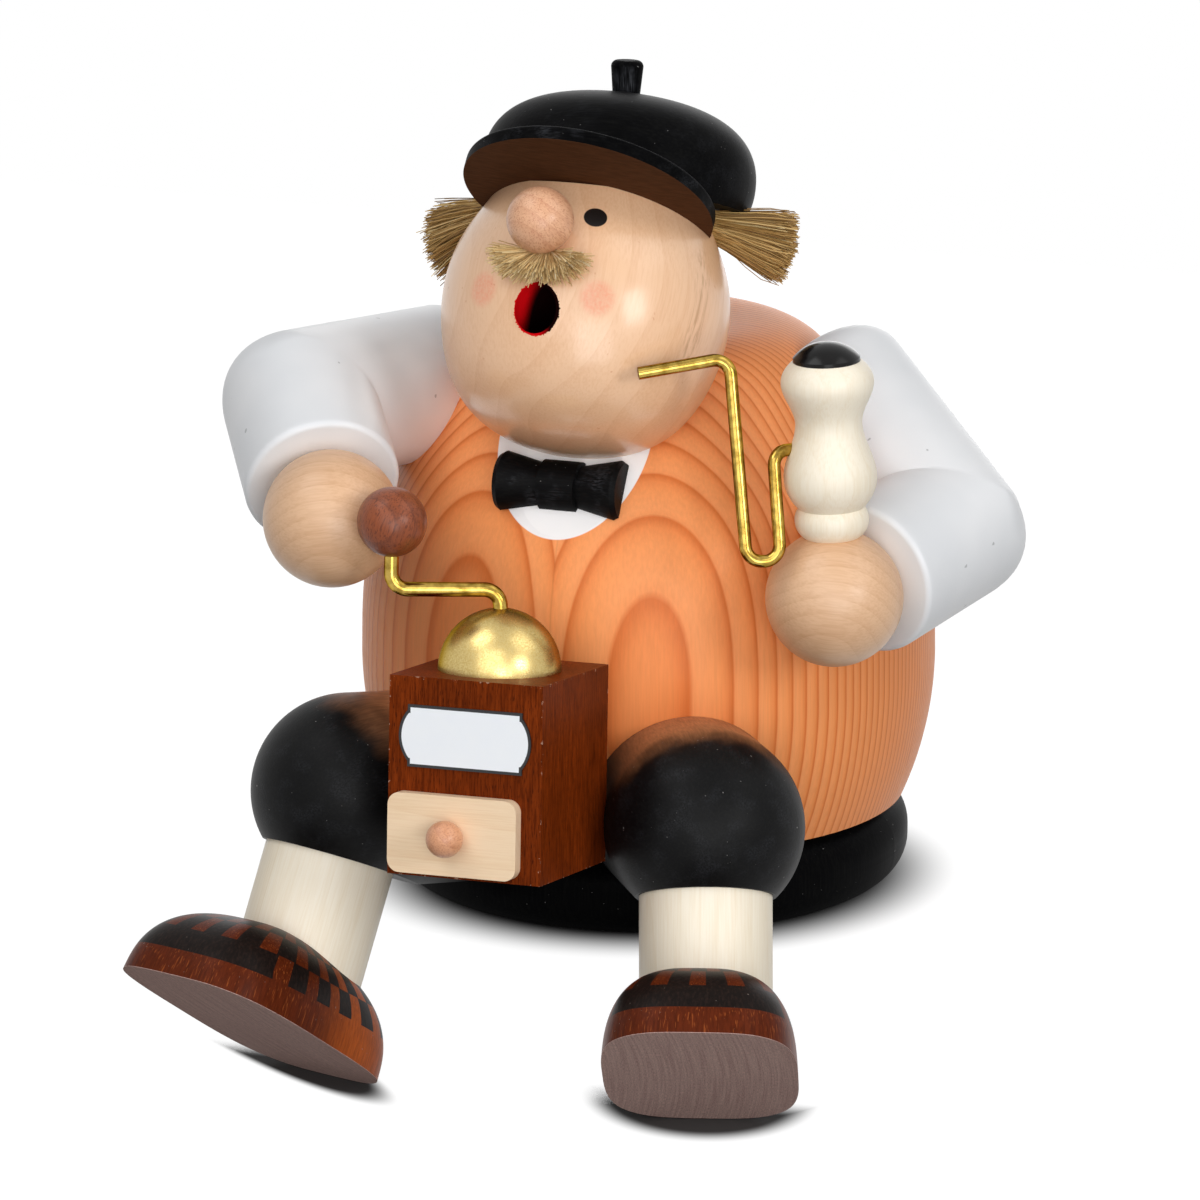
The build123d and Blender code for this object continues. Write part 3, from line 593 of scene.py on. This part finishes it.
def stained_ball():
    """The crank's knob, stained reddish brown."""
    grain = Vector((0.3, 0.2, 1)).normalized()
    return fleck_wood("knob_wood", srgb(150, 78, 44), srgb(86, 38, 20), CRANK_KNOB, grain,
                      rough=0.36, coat=0.05)


def gold_paint():
    """The mill dome's fine metallic paint."""
    paint = Paint("gold_paint")
    grain = paint.noise(paint.spot, scale=4.0, detail=2.0)
    colour = paint.mix(paint.spread(grain), srgb(208, 186, 126), srgb(190, 164, 102))
    paint.bump(grain, depth=0.012, strength=0.5)
    rough = paint.spread(grain, 0.26, 0.36)
    return paint.finish(colour, rough, Metallic=1.0, Specular_Tint=EDGE_TINT)


def brass():
    """Bent wire, a little tarnished."""
    paint = Paint("brass_wire")
    stain = paint.noise(paint.spot, scale=0.6, detail=3.0)
    colour = paint.mix(paint.between(stain, 0.35, 0.7), srgb(190, 160, 80), srgb(140, 112, 46))
    rough = paint.between(stain, 0.3, 0.75, 0.12, 0.24)
    paint.bump(paint.noise(paint.spot, scale=3.0, detail=1.0), depth=0.01, strength=0.4)
    return paint.finish(colour, rough, Metallic=1.0, Specular_Tint=EDGE_TINT)


def dish_metal():
    """Pressed sheet with turned rings."""
    paint = Paint("dish_metal")
    from_axis = paint.length(paint.stretch(paint.spot, (1, 1, 0)))
    turned = paint.noise(paint.join(from_axis, 0.0, 0.0), scale=3.0, detail=2.0)
    colour = paint.mix(paint.spread(turned), srgb(206, 206, 206), srgb(176, 176, 178))
    paint.bump(turned, depth=0.02, strength=0.4)
    return paint.finish(colour, rough=0.32, Metallic=1.0)


def pin_steel():
    """The steel of the dish's pins."""
    paint = Paint("pin_steel")
    grain = paint.noise(paint.spot, scale=3.0, detail=2.0)
    colour = paint.mix(grain, srgb(170, 170, 172), srgb(140, 140, 144))
    return paint.finish(colour, rough=0.35, Metallic=1.0)


def inside_border(paint, value, limit):
    """1 where a distance stays short of the label's border, whose outer limit is given."""
    inner = limit - LABEL_BORDER
    return paint.between(value, inner, inner - LABEL_BORDER_EDGE)


def label_card():
    """A white card with a dark border that follows its bulged sides."""
    lobe_overlap, lobe_edge = 1.0, 0.05
    paint = Paint("label_card")
    right, back, up = mill_axes()
    place = paint.local(MILL_CENTER, (right, up, back))
    wide = paint.math("ABSOLUTE", paint.dot(place, (1, 0, 0)))
    height = paint.dot(place, (0, 1, 0))
    tall = paint.math("ABSOLUTE", paint.minus(height, LABEL_UP))
    half_wide, half_tall = LABEL_HALF
    lobe_radius = (LABEL_LOBE ** 2 + LABEL_LOBE_HALF ** 2) / (2 * LABEL_LOBE)
    lobe_center = half_wide + LABEL_LOBE - lobe_radius
    lobe_from = half_wide - lobe_overlap
    in_block = paint.times(inside_border(paint, wide, half_wide),
                           inside_border(paint, tall, half_tall))
    lobe_reach = paint.length(paint.join(paint.minus(wide, lobe_center), tall, 0.0))
    in_lobe = paint.times(inside_border(paint, lobe_reach, lobe_radius),
                          inside_border(paint, tall, LABEL_LOBE_HALF))
    in_lobe = paint.times(in_lobe, paint.between(wide, lobe_from, lobe_from + lobe_edge))
    card = paint.math("MAXIMUM", in_block, in_lobe)
    cloud = paint.noise(paint.spot, scale=0.3, detail=2.0)
    paper = paint.mix(cloud, srgb(249, 252, 255), srgb(244, 248, 254))
    colour = paint.mix(card, srgb(22, 22, 24), paper)
    return paint.finish(colour, rough=0.35, Specular_IOR_Level=0.5)


def slipper(name, side):
    """Red brown stain, a checked upper, a plain band and a raw sole."""
    pairs, square_half, row_height, top_row = 18, 0.22, 4.2, 2
    band_at_heel, band_at_toe = 6.6, 4.3
    toe_from, flat_gain = 16.0, 12.0
    warm_from, warm_to = 6.0, -10.0
    sole_bow, sole_edge = 0.003, (0.04, 0.1)
    paint = Paint(name)
    place = paint.local(mirrored(SOLE_CENTER, side), shoe_axes(side))
    toe, across, up = paint.split(place)
    streak = fibres(paint, paint.join(across, toe, up), fine=2.2, long=0.25)
    warm = paint.between(toe, warm_from, warm_to)
    brown = paint.mix(warm, srgb(90, 36, 15), srgb(180, 86, 30))
    brown = paint.shade(brown, paint.between(streak, 0.3, 0.72, 1.15, 0.72))
    spark = paint.drawn_noise(place, across=4.0, along=0.22, detail=1.0)
    brown = paint.mix(paint.between(spark, 0.6, 0.72, 0.0, 0.5), brown, srgb(168, 88, 42))
    black = paint.mix(paint.between(streak, 0.4, 0.8), srgb(24, 18, 16), srgb(44, 32, 28))
    share_across = paint.math("DIVIDE", across, SOLE_HALF[1])
    share_toe = paint.math("DIVIDE", toe, SOLE_HALF[0])
    even_pace = math.sqrt(SOLE_HALF[0] / SOLE_HALF[1])
    turn = paint.math("ARCTAN2", paint.times(across, even_pace), toe)
    beat = paint.times(turn, pairs / (2 * math.pi))
    inset = paint.minus(1.0, paint.length(paint.join(share_across, share_toe, 0.0)))
    inset = paint.math("MAXIMUM", inset, 0.0)
    climb = paint.plus(up, paint.times(paint.times(inset, inset), flat_gain))
    band_top = paint.between(toe, -SOLE_HALF[0], SOLE_HALF[0], band_at_heel, band_at_toe, smooth=False)
    row = paint.math("FLOOR", paint.math("DIVIDE", paint.minus(climb, band_top), row_height))
    beat = paint.math("FRACT", paint.plus(beat, paint.times(row, 0.5)))
    off_middle = paint.math("ABSOLUTE", paint.minus(beat, 0.5))
    check = paint.math("GREATER_THAN", off_middle, square_half)
    low_row = paint.times(paint.between(row, 0.4, 0.6, 1.0, 0.0),
                          paint.between(toe, toe_from, toe_from + 0.1))
    check = paint.math("MAXIMUM", check, low_row)
    high_row = paint.between(row, top_row + 0.4, top_row + 0.6, 1.0, 0.0)
    above = paint.between(paint.minus(climb, band_top), 0.0, 0.06)
    dark = paint.times(paint.times(check, above), high_row)
    colour = paint.mix(dark, brown, black)
    colour = specks(paint, paint.spot, colour, 1.6, (0.775, 0.8), 0.45, srgb(170, 160, 150))
    bow = paint.times(paint.times(toe, toe), sole_bow)
    bend = paint.plus(across, bow)
    raw_place = paint.join(bend, up, toe)
    raw_streak = fibres(paint, raw_place, fine=2.4, long=0.05)
    raw = paint.mix(paint.spread(raw_streak), srgb(212, 180, 170), srgb(188, 154, 146))
    fine = paint.drawn_noise(raw_place, across=8.0, along=1.0, detail=2.0)
    raw = paint.shade(raw, paint.spread(fine, 0.8, 1.16))
    bare = paint.between(up, sole_edge[1], sole_edge[0])
    colour = paint.mix(bare, colour, raw)
    rough = paint.between(bare, 0.0, 1.0, 0.36, 0.75)
    paint.bump(paint.plus(streak, paint.times(bare, raw_streak)), depth=0.05, strength=0.5)
    return paint.finish(colour, rough, Specular_IOR_Level=0.05)


def straw(name, shades):
    """Plant fibre; each strand carries its own shade, from dark to light."""
    paint = Paint(name)
    tone = paint.add("ShaderNodeAttribute", attribute_name="tone").outputs["Fac"]
    places = (0.0, 0.35, 0.75, 1.0)
    colour = paint.ramp(tone, list(zip(places, shades)))
    return paint.finish(colour, rough=0.55, Specular_IOR_Level=0.35)


def dress_nodes(white):
    """Gives every CAD node its material."""
    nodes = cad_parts
    cap_grain = Vector((1, 0.2, 0)).normalized()
    hand_grain = {"left": Vector((1, 0.3, -0.1)).normalized(), "right": Vector((1, 0.2, 0.15)).normalized()}
    head_forward = head_axes()[1]
    mill_back = mill_axes()[1]
    tilt = math.radians(PEAK_TILT)
    peak_way = Vector((math.tan(math.radians(PEAK_ROLL)), math.sin(tilt), math.cos(tilt))).normalized()
    dowel = raw_dowel()
    wire = brass()
    materials = {
        "body": orange_body(),
        "head": head_face(),
        "seat_disc": black_stain("seat_stain", UP, rough=0.4),
        "cap_crown": black_stain("crown_stain", cap_grain, scuff=0.06, gloss=0.025),
        "cap_peak": black_stain("peak_stain", cap_grain, rough=0.46, scuff=0.22,
                                bare_below=(PEAK_CENTER, peak_way)),
        "cap_stem": black_stain("stem_stain", UP, rough=0.5, scuff=0.4),
        "bow_tie": black_stain("tie_stain", Vector((1, 0, 0)), rough=0.5, scuff=0.25, gloss=0.06),
        "nose": fleck_wood("nose_wood", srgb(232, 180, 142), srgb(196, 130, 96), HEAD_CENTER, head_forward),
        "drawer_knob": fleck_wood("drawer_knob_wood", srgb(228, 168, 128), srgb(192, 124, 88), MILL_CENTER,
                                  mill_back),
        "pipe_bowl": pale_wood("bowl_wood", ARMS["left"][2], UP),
        "pipe_lid": gloss_black(),
        "pipe_stem": wire,
        "mill_crank": wire,
        "mill_box": mahogany(),
        "mill_dome": gold_paint(),
        "crank_knob": stained_ball(),
        "mill_label": label_card(),
        "drawer_front": drawer_birch(),
        "incense_dish": dish_metal(),
        "dish_pins": pin_steel(),
    }
    for name in ("neck_tube", "shoulder_dowels", "elbow_dowels", "wrist_dowels", "hip_dowels"):
        materials[name] = dowel
    for name, side in (("left", 1), ("right", -1)):
        thigh_grain = mirrored(KNEE - THIGH_START, side).normalized()
        materials["upper_arm_" + name] = white
        materials["forearm_" + name] = white
        materials["hand_" + name] = hand_wood(name + "_hand_wood", ARMS[name][2], hand_grain[name])
        materials["thigh_" + name] = black_stain(name + "_thigh_stain", thigh_grain, rough=0.46, scuff=0.1,
                                                 gloss=0.1, brown_top_near=(mirrored(KNEE, side), thigh_grain))
        materials["lower_leg_" + name] = pale_wood(name + "_leg_wood", mirrored(SOLE_CENTER, side),
                                                   mirrored(SHIN_WAY, side))
        materials["slipper_" + name] = slipper(name + "_slipper", side)
    for name, material in materials.items():
        mesh = nodes[name].data
        mesh.materials.clear()
        mesh.materials.append(material)


class Strands:
    """Thin three-sided fibres gathered into one mesh, each with a tone."""

    def __init__(self, seed):
        self.draw = random.Random(seed)
        self.points = []
        self.faces = []
        self.tones = []

    def add(self, path, radius, tip_radius):
        first = (path[1] - path[0]).normalized()
        side = first.orthogonal().normalized()
        other = first.cross(side)
        start = len(self.points)
        tone = min(1.0, max(0.0, self.draw.gauss(TONE_MIDDLE, TONE_SPREAD)))
        twist = self.draw.uniform(0, 2 * math.pi)
        last = len(path) - 1
        for step, point in enumerate(path):
            size = radius + (tip_radius - radius) * step / last
            for corner in range(3):
                angle = twist + 2 * math.pi * corner / 3
                out = side * math.cos(angle) + other * math.sin(angle)
                self.points.append(point + out * size)
                self.tones.append(tone)
        for step in range(last):
            for corner in range(3):
                low = start + 3 * step
                following = (corner + 1) % 3
                self.faces.append((low + corner, low + following, low + 3 + following, low + 3 + corner))
        self.faces.append((start + 2, start + 1, start))
        end = start + 3 * last
        self.faces.append((end, end + 1, end + 2))

    def make(self, name, material, node):
        mesh = bpy.data.meshes.new(name)
        mesh.from_pydata([point * MM for point in self.points], [], self.faces)
        tone = mesh.attributes.new("tone", "FLOAT", "POINT")
        tone.data.foreach_set("value", self.tones)
        mesh.materials.append(material)
        piece = bpy.data.objects.new(name, mesh)
        bpy.context.scene.collection.objects.link(piece)
        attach(piece, "figure")
        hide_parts(node)


def hair(side, way, rise, droop, seed, material):
    """A bundle set in a hole at the temple, flared, frayed and cut off almost square."""
    count, segments = 1500, 5
    seat_radius, seat_angle = 17.8, math.radians(100.0)
    root_radius, tip_radius, length = 2.3, 5.3, 13.6
    sunk, rounded, cut_short, cut_long = 2.4, 1.4, -1.6, 0.6
    stray_share, stray_wave, wave_size, fray = 0.07, 1.6, 0.5, 0.5
    flare_power, curl_turn = 1.4, 0.8
    strand_radius, strand_tip = 0.095, 0.08
    name = "left" if side > 0 else "right"
    right, forward, up = head_axes()
    root = (HEAD_CENTER + right * (side * seat_radius * math.sin(seat_angle))
            + forward * (seat_radius * math.cos(seat_angle)) + up * rise)
    way = way.normalized()
    first = way.cross(UP).normalized()
    second = way.cross(first)
    strands = Strands(seed)
    draw = strands.draw
    for _ in range(count):
        angle = draw.uniform(0, 2 * math.pi)
        spread = math.sqrt(draw.random())
        out = first * math.cos(angle) + second * math.sin(angle)
        start = root + out * (spread * root_radius) - way * sunk
        reach = length - rounded * spread + draw.uniform(cut_short, cut_long) + sunk
        flare = spread * tip_radius + draw.gauss(0, fray)
        wave = stray_wave if draw.random() < stray_share else wave_size
        bend = first * draw.gauss(0, wave) + second * draw.gauss(0, wave)
        sag = Vector((0, 0, -droop * draw.uniform(0.2, 1.0)))
        path = []
        for step in range(segments + 1):
            share = step / segments
            widen = out * ((flare - spread * root_radius) * share ** flare_power)
            curl = bend * math.sin(share * math.pi * curl_turn) * share
            path.append(start + way * (share * reach) + widen + curl + sag * share * share)
        strands.add(path, strand_radius, strand_tip)
    strands.make("hair_" + name + "_fibres", material, "hair_" + name)


def moustache(seed, material):
    """A short brush fanned out from under the nose."""
    count, segments = 1000, 4
    half_angle = math.radians(87.0)
    lift_low, lift_high = 4.0, 46.0
    root_forward, root_up, root_half, root_depth = 22.6, 3.9, 1.5, 1.1
    length, side_gain, side_power = 4.7, 2.3, 1.6
    cut_short, cut_long = -0.9, 0.6
    droop_low, droop_high, stray_size = 0.1, 0.9, 0.4
    strand_radius, strand_tip = 0.09, 0.075
    right, forward, up = head_axes()
    root = HEAD_CENTER + forward * root_forward + up * root_up
    strands = Strands(seed)
    draw = strands.draw
    for _ in range(count):
        swing = draw.uniform(-1.0, 1.0) * half_angle
        lift = math.radians(draw.uniform(lift_low, lift_high))
        away = right * math.sin(swing) - up * math.cos(swing)
        way = (away * math.cos(lift) + forward * math.sin(lift)).normalized()
        longer = side_gain * abs(math.sin(swing)) ** side_power
        reach = length + longer + draw.uniform(cut_short, cut_long)
        start = root + right * (root_half * math.sin(swing)) + forward * draw.uniform(0.0, root_depth)
        droop = draw.uniform(droop_low, droop_high)
        stray = right * draw.gauss(0, stray_size) + up * draw.gauss(0, stray_size)
        path = []
        for step in range(segments + 1):
            share = step / segments
            path.append(start + way * (reach * share) + (stray - up * droop) * share * share)
        strands.add(path, strand_radius, strand_tip)
    strands.make("moustache_fibres", material, "moustache")


def arc(center, first, last, radius, steps):
    """Points of an arc round a center, from one direction to another."""
    return [center + first.slerp(last, step / steps) * radius for step in range(steps + 1)]


def sleeve_row(joints, axes, turn, elbow_round):
    """One line along the sleeve, from the cup for the hand over the elbow to the shoulder's end."""
    radius, cuff_round, shoulder_round = 12.4, 1.0, 5.0
    cuff_setback, shoulder_back, cup_radius = 8.5, 7.5, 11.0
    straight = 0.6
    round_from, round_over = 0.35, 0.45
    cup_steps, cuff_steps, elbow_steps, shoulder_steps = 5, 5, 10, 6
    shoulder, elbow, hand = joints
    upper, fore, upper_side, fore_side, outward, across = axes
    out_fore = fore_side * math.cos(turn) + across * math.sin(turn)
    out_upper = upper_side * math.cos(turn) + across * math.sin(turn)
    cup_reach = math.sqrt(cup_radius ** 2 - cuff_setback ** 2)
    cup_way = (out_fore * cup_reach - fore * cuff_setback).normalized()
    row = arc(hand, -fore, cup_way, cup_radius, cup_steps)
    cuff = hand - fore * (cuff_setback + cuff_round) + out_fore * (radius - cuff_round)
    row += arc(cuff, fore, out_fore, cuff_round, cuff_steps)
    row.append(row[-1] - fore * straight)
    rise = radius * math.cos(turn)
    outer = min(1.0, max(0.0, (math.cos(turn) - round_from) / round_over))
    bend = min(elbow_round * outer, max(rise, 0.0))
    mitre = (rise - bend) / outward.dot(upper_side)
    hub = elbow + outward * mitre + across * (radius * math.sin(turn))
    corner = arc(hub, fore_side, upper_side, bend, elbow_steps)
    row.append(corner[0] + fore * straight)
    row += corner
    row.append(corner[-1] - upper * straight)
    end = shoulder - upper * shoulder_back
    rim = end + upper * shoulder_round + out_upper * (radius - shoulder_round)
    row.append(rim + out_upper * shoulder_round + upper * straight)
    row += arc(rim, out_upper, -upper, shoulder_round, shoulder_steps)
    return row + [end]


def stop_at(tree, row):
    """The line with all that lies behind the first wall it meets drawn in to that wall."""
    for place in range(len(row) - 1):
        step = row[place + 1] - row[place]
        if step.length > 0:
            hit = tree.ray_cast(row[place], step.normalized(), step.length)[0]
            if hit is not None:
                return row[:place + 1] + [hit] * (len(row) - place - 1)
    return row


def sleeve(side, elbow_round, material):
    """A painted sleeve: two mitred lengths whose outer corner is rounded off, seated on the body."""
    rows_round = 144
    weld = 0.001 * MM
    sharp_from = math.radians(32.0)
    joints = ARMS[side]
    shoulder, elbow, hand = joints
    upper = (elbow - shoulder).normalized()
    fore = (hand - elbow).normalized()
    across = upper.cross(fore).normalized()
    outward = (upper - fore).normalized()
    axes = (upper, fore, upper.cross(across), fore.cross(across), outward, across)
    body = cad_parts["body"].data
    tree = BVHTree.FromPolygons([vertex.co / MM for vertex in body.vertices],
                                [tuple(face.vertices) for face in body.polygons])
    mesh = bmesh.new()
    rows = []
    for place in range(rows_round):
        row = sleeve_row(joints, axes, 2 * math.pi * place / rows_round, elbow_round)
        rows.append([mesh.verts.new(point * MM) for point in stop_at(tree, row)])
    for first, second in zip(rows, rows[1:] + rows[:1]):
        for place in range(len(first) - 1):
            mesh.faces.new((first[place], first[place + 1], second[place + 1], second[place]))
    bmesh.ops.remove_doubles(mesh, verts=mesh.verts, dist=weld)
    bmesh.ops.dissolve_degenerate(mesh, edges=mesh.edges, dist=weld)
    bmesh.ops.recalc_face_normals(mesh, faces=mesh.faces)
    name = "sleeve_" + side
    data = bpy.data.meshes.new(name)
    mesh.to_mesh(data)
    mesh.free()
    data.shade_smooth()
    data.set_sharp_from_angle(angle=sharp_from)
    data.materials.append(material)
    piece = bpy.data.objects.new(name, data)
    bpy.context.scene.collection.objects.link(piece)
    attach(piece, "figure")
    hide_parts("upper_arm_" + side, "forearm_" + side)


def seen_as_background(tree):
    """1 for rays from the camera and for those that show the background in a surface."""
    path = tree.nodes.new("ShaderNodeLightPath").outputs
    seen = path["Is Camera Ray"]
    for kind in ("Is Glossy Ray", "Is Transmission Ray"):
        either = tree.nodes.new("ShaderNodeMath")
        either.operation = "MAXIMUM"
        tree.links.new(seen, either.inputs[0])
        tree.links.new(path[kind], either.inputs[1])
        seen = either.outputs[0]
    return seen


def stage_white(name, pools, end=None):
    """A matt surface seen as white, except in painted shadow pools round what stands on it, where it shows
    dark grey with the lamps' own light and shadow.

    Pools of what can be lifted off end between two depths, where another sheet of the stage covers the
    surface, and are gone where nothing is left close above.
    """
    paint = Paint(name)
    glow = 1.0
    for center, axes, half, fade in pools:
        place = paint.local(center, axes)
        reach = paint.length(paint.stretch(place, (1.0 / half[0], 1.0 / half[1], 0.0)))
        glow = paint.math("MINIMUM", glow, paint.between(reach, 1.0, 1.0 + fade))
    if end is not None:
        glow = paint.math("MAXIMUM", glow, paint.between(paint.split(paint.spot)[1], end[0], end[1]))
        above = paint.add("ShaderNodeAmbientOcclusion", {"Distance": POOL_HEIGHT}, samples=POOL_SAMPLES)
        glow = paint.math("MAXIMUM", glow, paint.between(above.outputs["AO"], POOL_OPEN[0], POOL_OPEN[1]))
    seen = seen_as_background(paint.tree)
    paint.feed(paint.shader.inputs["Emission Strength"], paint.times(glow, seen))
    return paint.finish(STAGE_GREY, rough=1.0, Specular_IOR_Level=0.0, Emission_Color=WHITE)


def sheet(name, low, high, height, material):
    """A level sheet of the stage between two corners, in metres. It catches shadows and throws none."""
    corners = [(low[0], low[1], height), (high[0], low[1], height), (high[0], high[1], height),
               (low[0], high[1], height)]
    mesh = bpy.data.meshes.new(name)
    mesh.from_pydata(corners, [], [(0, 1, 2, 3)])
    mesh.materials.append(material)
    made = bpy.data.objects.new(name, mesh)
    made.visible_shadow = False
    bpy.context.scene.collection.objects.link(made)


def painted_sole_shadow(side):
    """A painted shadow: the sole's outline, less its toe, as a lamp near the camera would throw it on the
    floor.
    """
    toe, across, up = shoe_axes(side)
    right, rise, back = camera_axes()
    lamp = right * SOLE_POOL_LAMP[0] + rise * SOLE_POOL_LAMP[1] + back * SOLE_POOL_LAMP[2]
    along = toe - up * (lamp.dot(toe) / lamp.dot(up))
    aside = across - up * (lamp.dot(across) / lamp.dot(up))
    nearer = Vector((back.x, back.y, 0)).normalized() * SOLE_POOL_NEARER
    center = mirrored(SOLE_CENTER, side) - toe * SOLE_POOL_BACK + nearer
    half = (SOLE_HALF[0] - SOLE_POOL_BACK + SOLE_POOL_GROW[0], SOLE_HALF[1] + SOLE_POOL_GROW[1])
    return center, (along, aside, up), half, SOLE_POOL_FADE


def make_stage():
    """A shelf under the seat disc, with a tongue between the legs, and a floor under the heels."""
    ahead, aside = Vector((0, -1, 0)), Vector((1, 0, 0))
    # Painted shadows: a pool round the seat disc on the shelf and one under each sole on the floor
    disc_low, disc_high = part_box("seat_disc")
    disc_half = (disc_high.x - disc_low.x) / 2 / MM * DISC_POOL_SHARE
    painted_disc_shadow = (Vector((0, 0, 0)), (ahead, aside, UP), (disc_half, disc_half), DISC_POOL_FADE)
    shelf_white = stage_white("shelf_white", [painted_disc_shadow])
    floor_white = stage_white("floor_white", [painted_sole_shadow(1), painted_sole_shadow(-1)], SOLE_POOL_END)
    floor_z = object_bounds()[0].z - STAGE_GAP
    far = (STAGE_REACH, STAGE_REACH)
    sheet("floor", (-STAGE_REACH, -STAGE_REACH), far, floor_z, floor_white)
    sheet("shelf", (-STAGE_REACH, SHELF_FRONT), far, -STAGE_GAP, shelf_white)
    sheet("tongue", (-TONGUE_HALF, TONGUE_FRONT), (TONGUE_HALF, SHELF_FRONT), -STAGE_GAP, shelf_white)


def camera_axes():
    """Right, up and back of the photograph's view."""
    turn = math.radians(VIEW_AZIMUTH)
    rise = math.radians(VIEW_ELEVATION)
    right = Vector((math.cos(turn), math.sin(turn), 0))
    back = Vector((math.sin(turn) * math.cos(rise), -math.cos(turn) * math.cos(rise), math.sin(rise)))
    return right, back.cross(right), back


def make_camera():
    """The photograph's camera, aimed so that the origin falls where it does there."""
    right, up, back = camera_axes()
    data = bpy.data.cameras.new("camera")
    data.sensor_width = SENSOR_MM
    data.lens = SENSOR_MM * FOCAL_PIXELS / FRAME_PIXELS
    data.clip_start, data.clip_end = CLIP
    camera = bpy.data.objects.new("camera", data)
    camera.location = back * VIEW_DISTANCE
    middle = FRAME_PIXELS / 2
    aim = (right * ((middle - ORIGIN_PIXEL[0]) / FOCAL_PIXELS)
           + up * ((ORIGIN_PIXEL[1] - middle) / FOCAL_PIXELS) - back)
    camera.rotation_mode = "QUATERNION"
    camera.rotation_quaternion = aim.to_track_quat("-Z", "Y")
    bpy.context.scene.collection.objects.link(camera)
    bpy.context.scene.camera = camera


def make_lamp(name, way, size, power):
    """A soft box that lies in a direction given as right, up and back of the camera's view."""
    right, up, back = camera_axes()
    toward = (right * way[0] + up * way[1] + back * way[2]).normalized()
    data = bpy.data.lights.new(name, "AREA")
    data.shape = "SQUARE"
    data.size = size
    data.energy = power
    lamp = bpy.data.objects.new(name, data)
    lamp.location = LAMP_AIM + toward * LAMP_DISTANCE
    lamp.rotation_mode = "QUATERNION"
    lamp.rotation_quaternion = (-toward).to_track_quat("-Z", "Y")
    bpy.context.scene.collection.objects.link(lamp)


def make_world():
    """White where the camera looks, and a softer even light for the rest."""
    world = bpy.data.worlds.new("studio")
    bpy.context.scene.world = world
    world.use_nodes = True
    tree = world.node_tree
    tree.nodes.clear()
    out = tree.nodes.new("ShaderNodeOutputWorld")
    choose = tree.nodes.new("ShaderNodeMixShader")
    tree.links.new(seen_as_background(tree), choose.inputs[0])
    for place, strength in ((1, AMBIENT_STRENGTH), (2, 1.0)):
        light = tree.nodes.new("ShaderNodeBackground")
        light.inputs["Color"].default_value = WHITE
        light.inputs["Strength"].default_value = strength
        tree.links.new(light.outputs[0], choose.inputs[place])
    tree.links.new(choose.outputs[0], out.inputs["Surface"])


sleeve_white = white_paint()
dress_nodes(sleeve_white)
for arm, rounding in ELBOW_ROUND.items():
    sleeve(arm, rounding, sleeve_white)
hair_straw = straw("hair_fibre", (srgb(94, 64, 28), srgb(158, 120, 64), srgb(200, 164, 102),
                                  srgb(234, 210, 154)))
lip_straw = straw("moustache_fibre", (srgb(174, 138, 84), srgb(220, 188, 130), srgb(238, 216, 164),
                                      srgb(250, 238, 206)))
hair(side=1, way=Vector((70, 29, -19.3)), rise=18.0, droop=1.2, seed=11, material=hair_straw)
hair(side=-1, way=Vector((-70, 5, -20)), rise=17.4, droop=4.5, seed=12, material=hair_straw)
moustache(seed=31, material=lip_straw)

make_stage()
make_camera()
make_world()
for lamp_name, lamp_settings in LAMPS.items():
    make_lamp(lamp_name, *lamp_settings)
bpy.context.scene.view_settings.view_transform = "Standard"
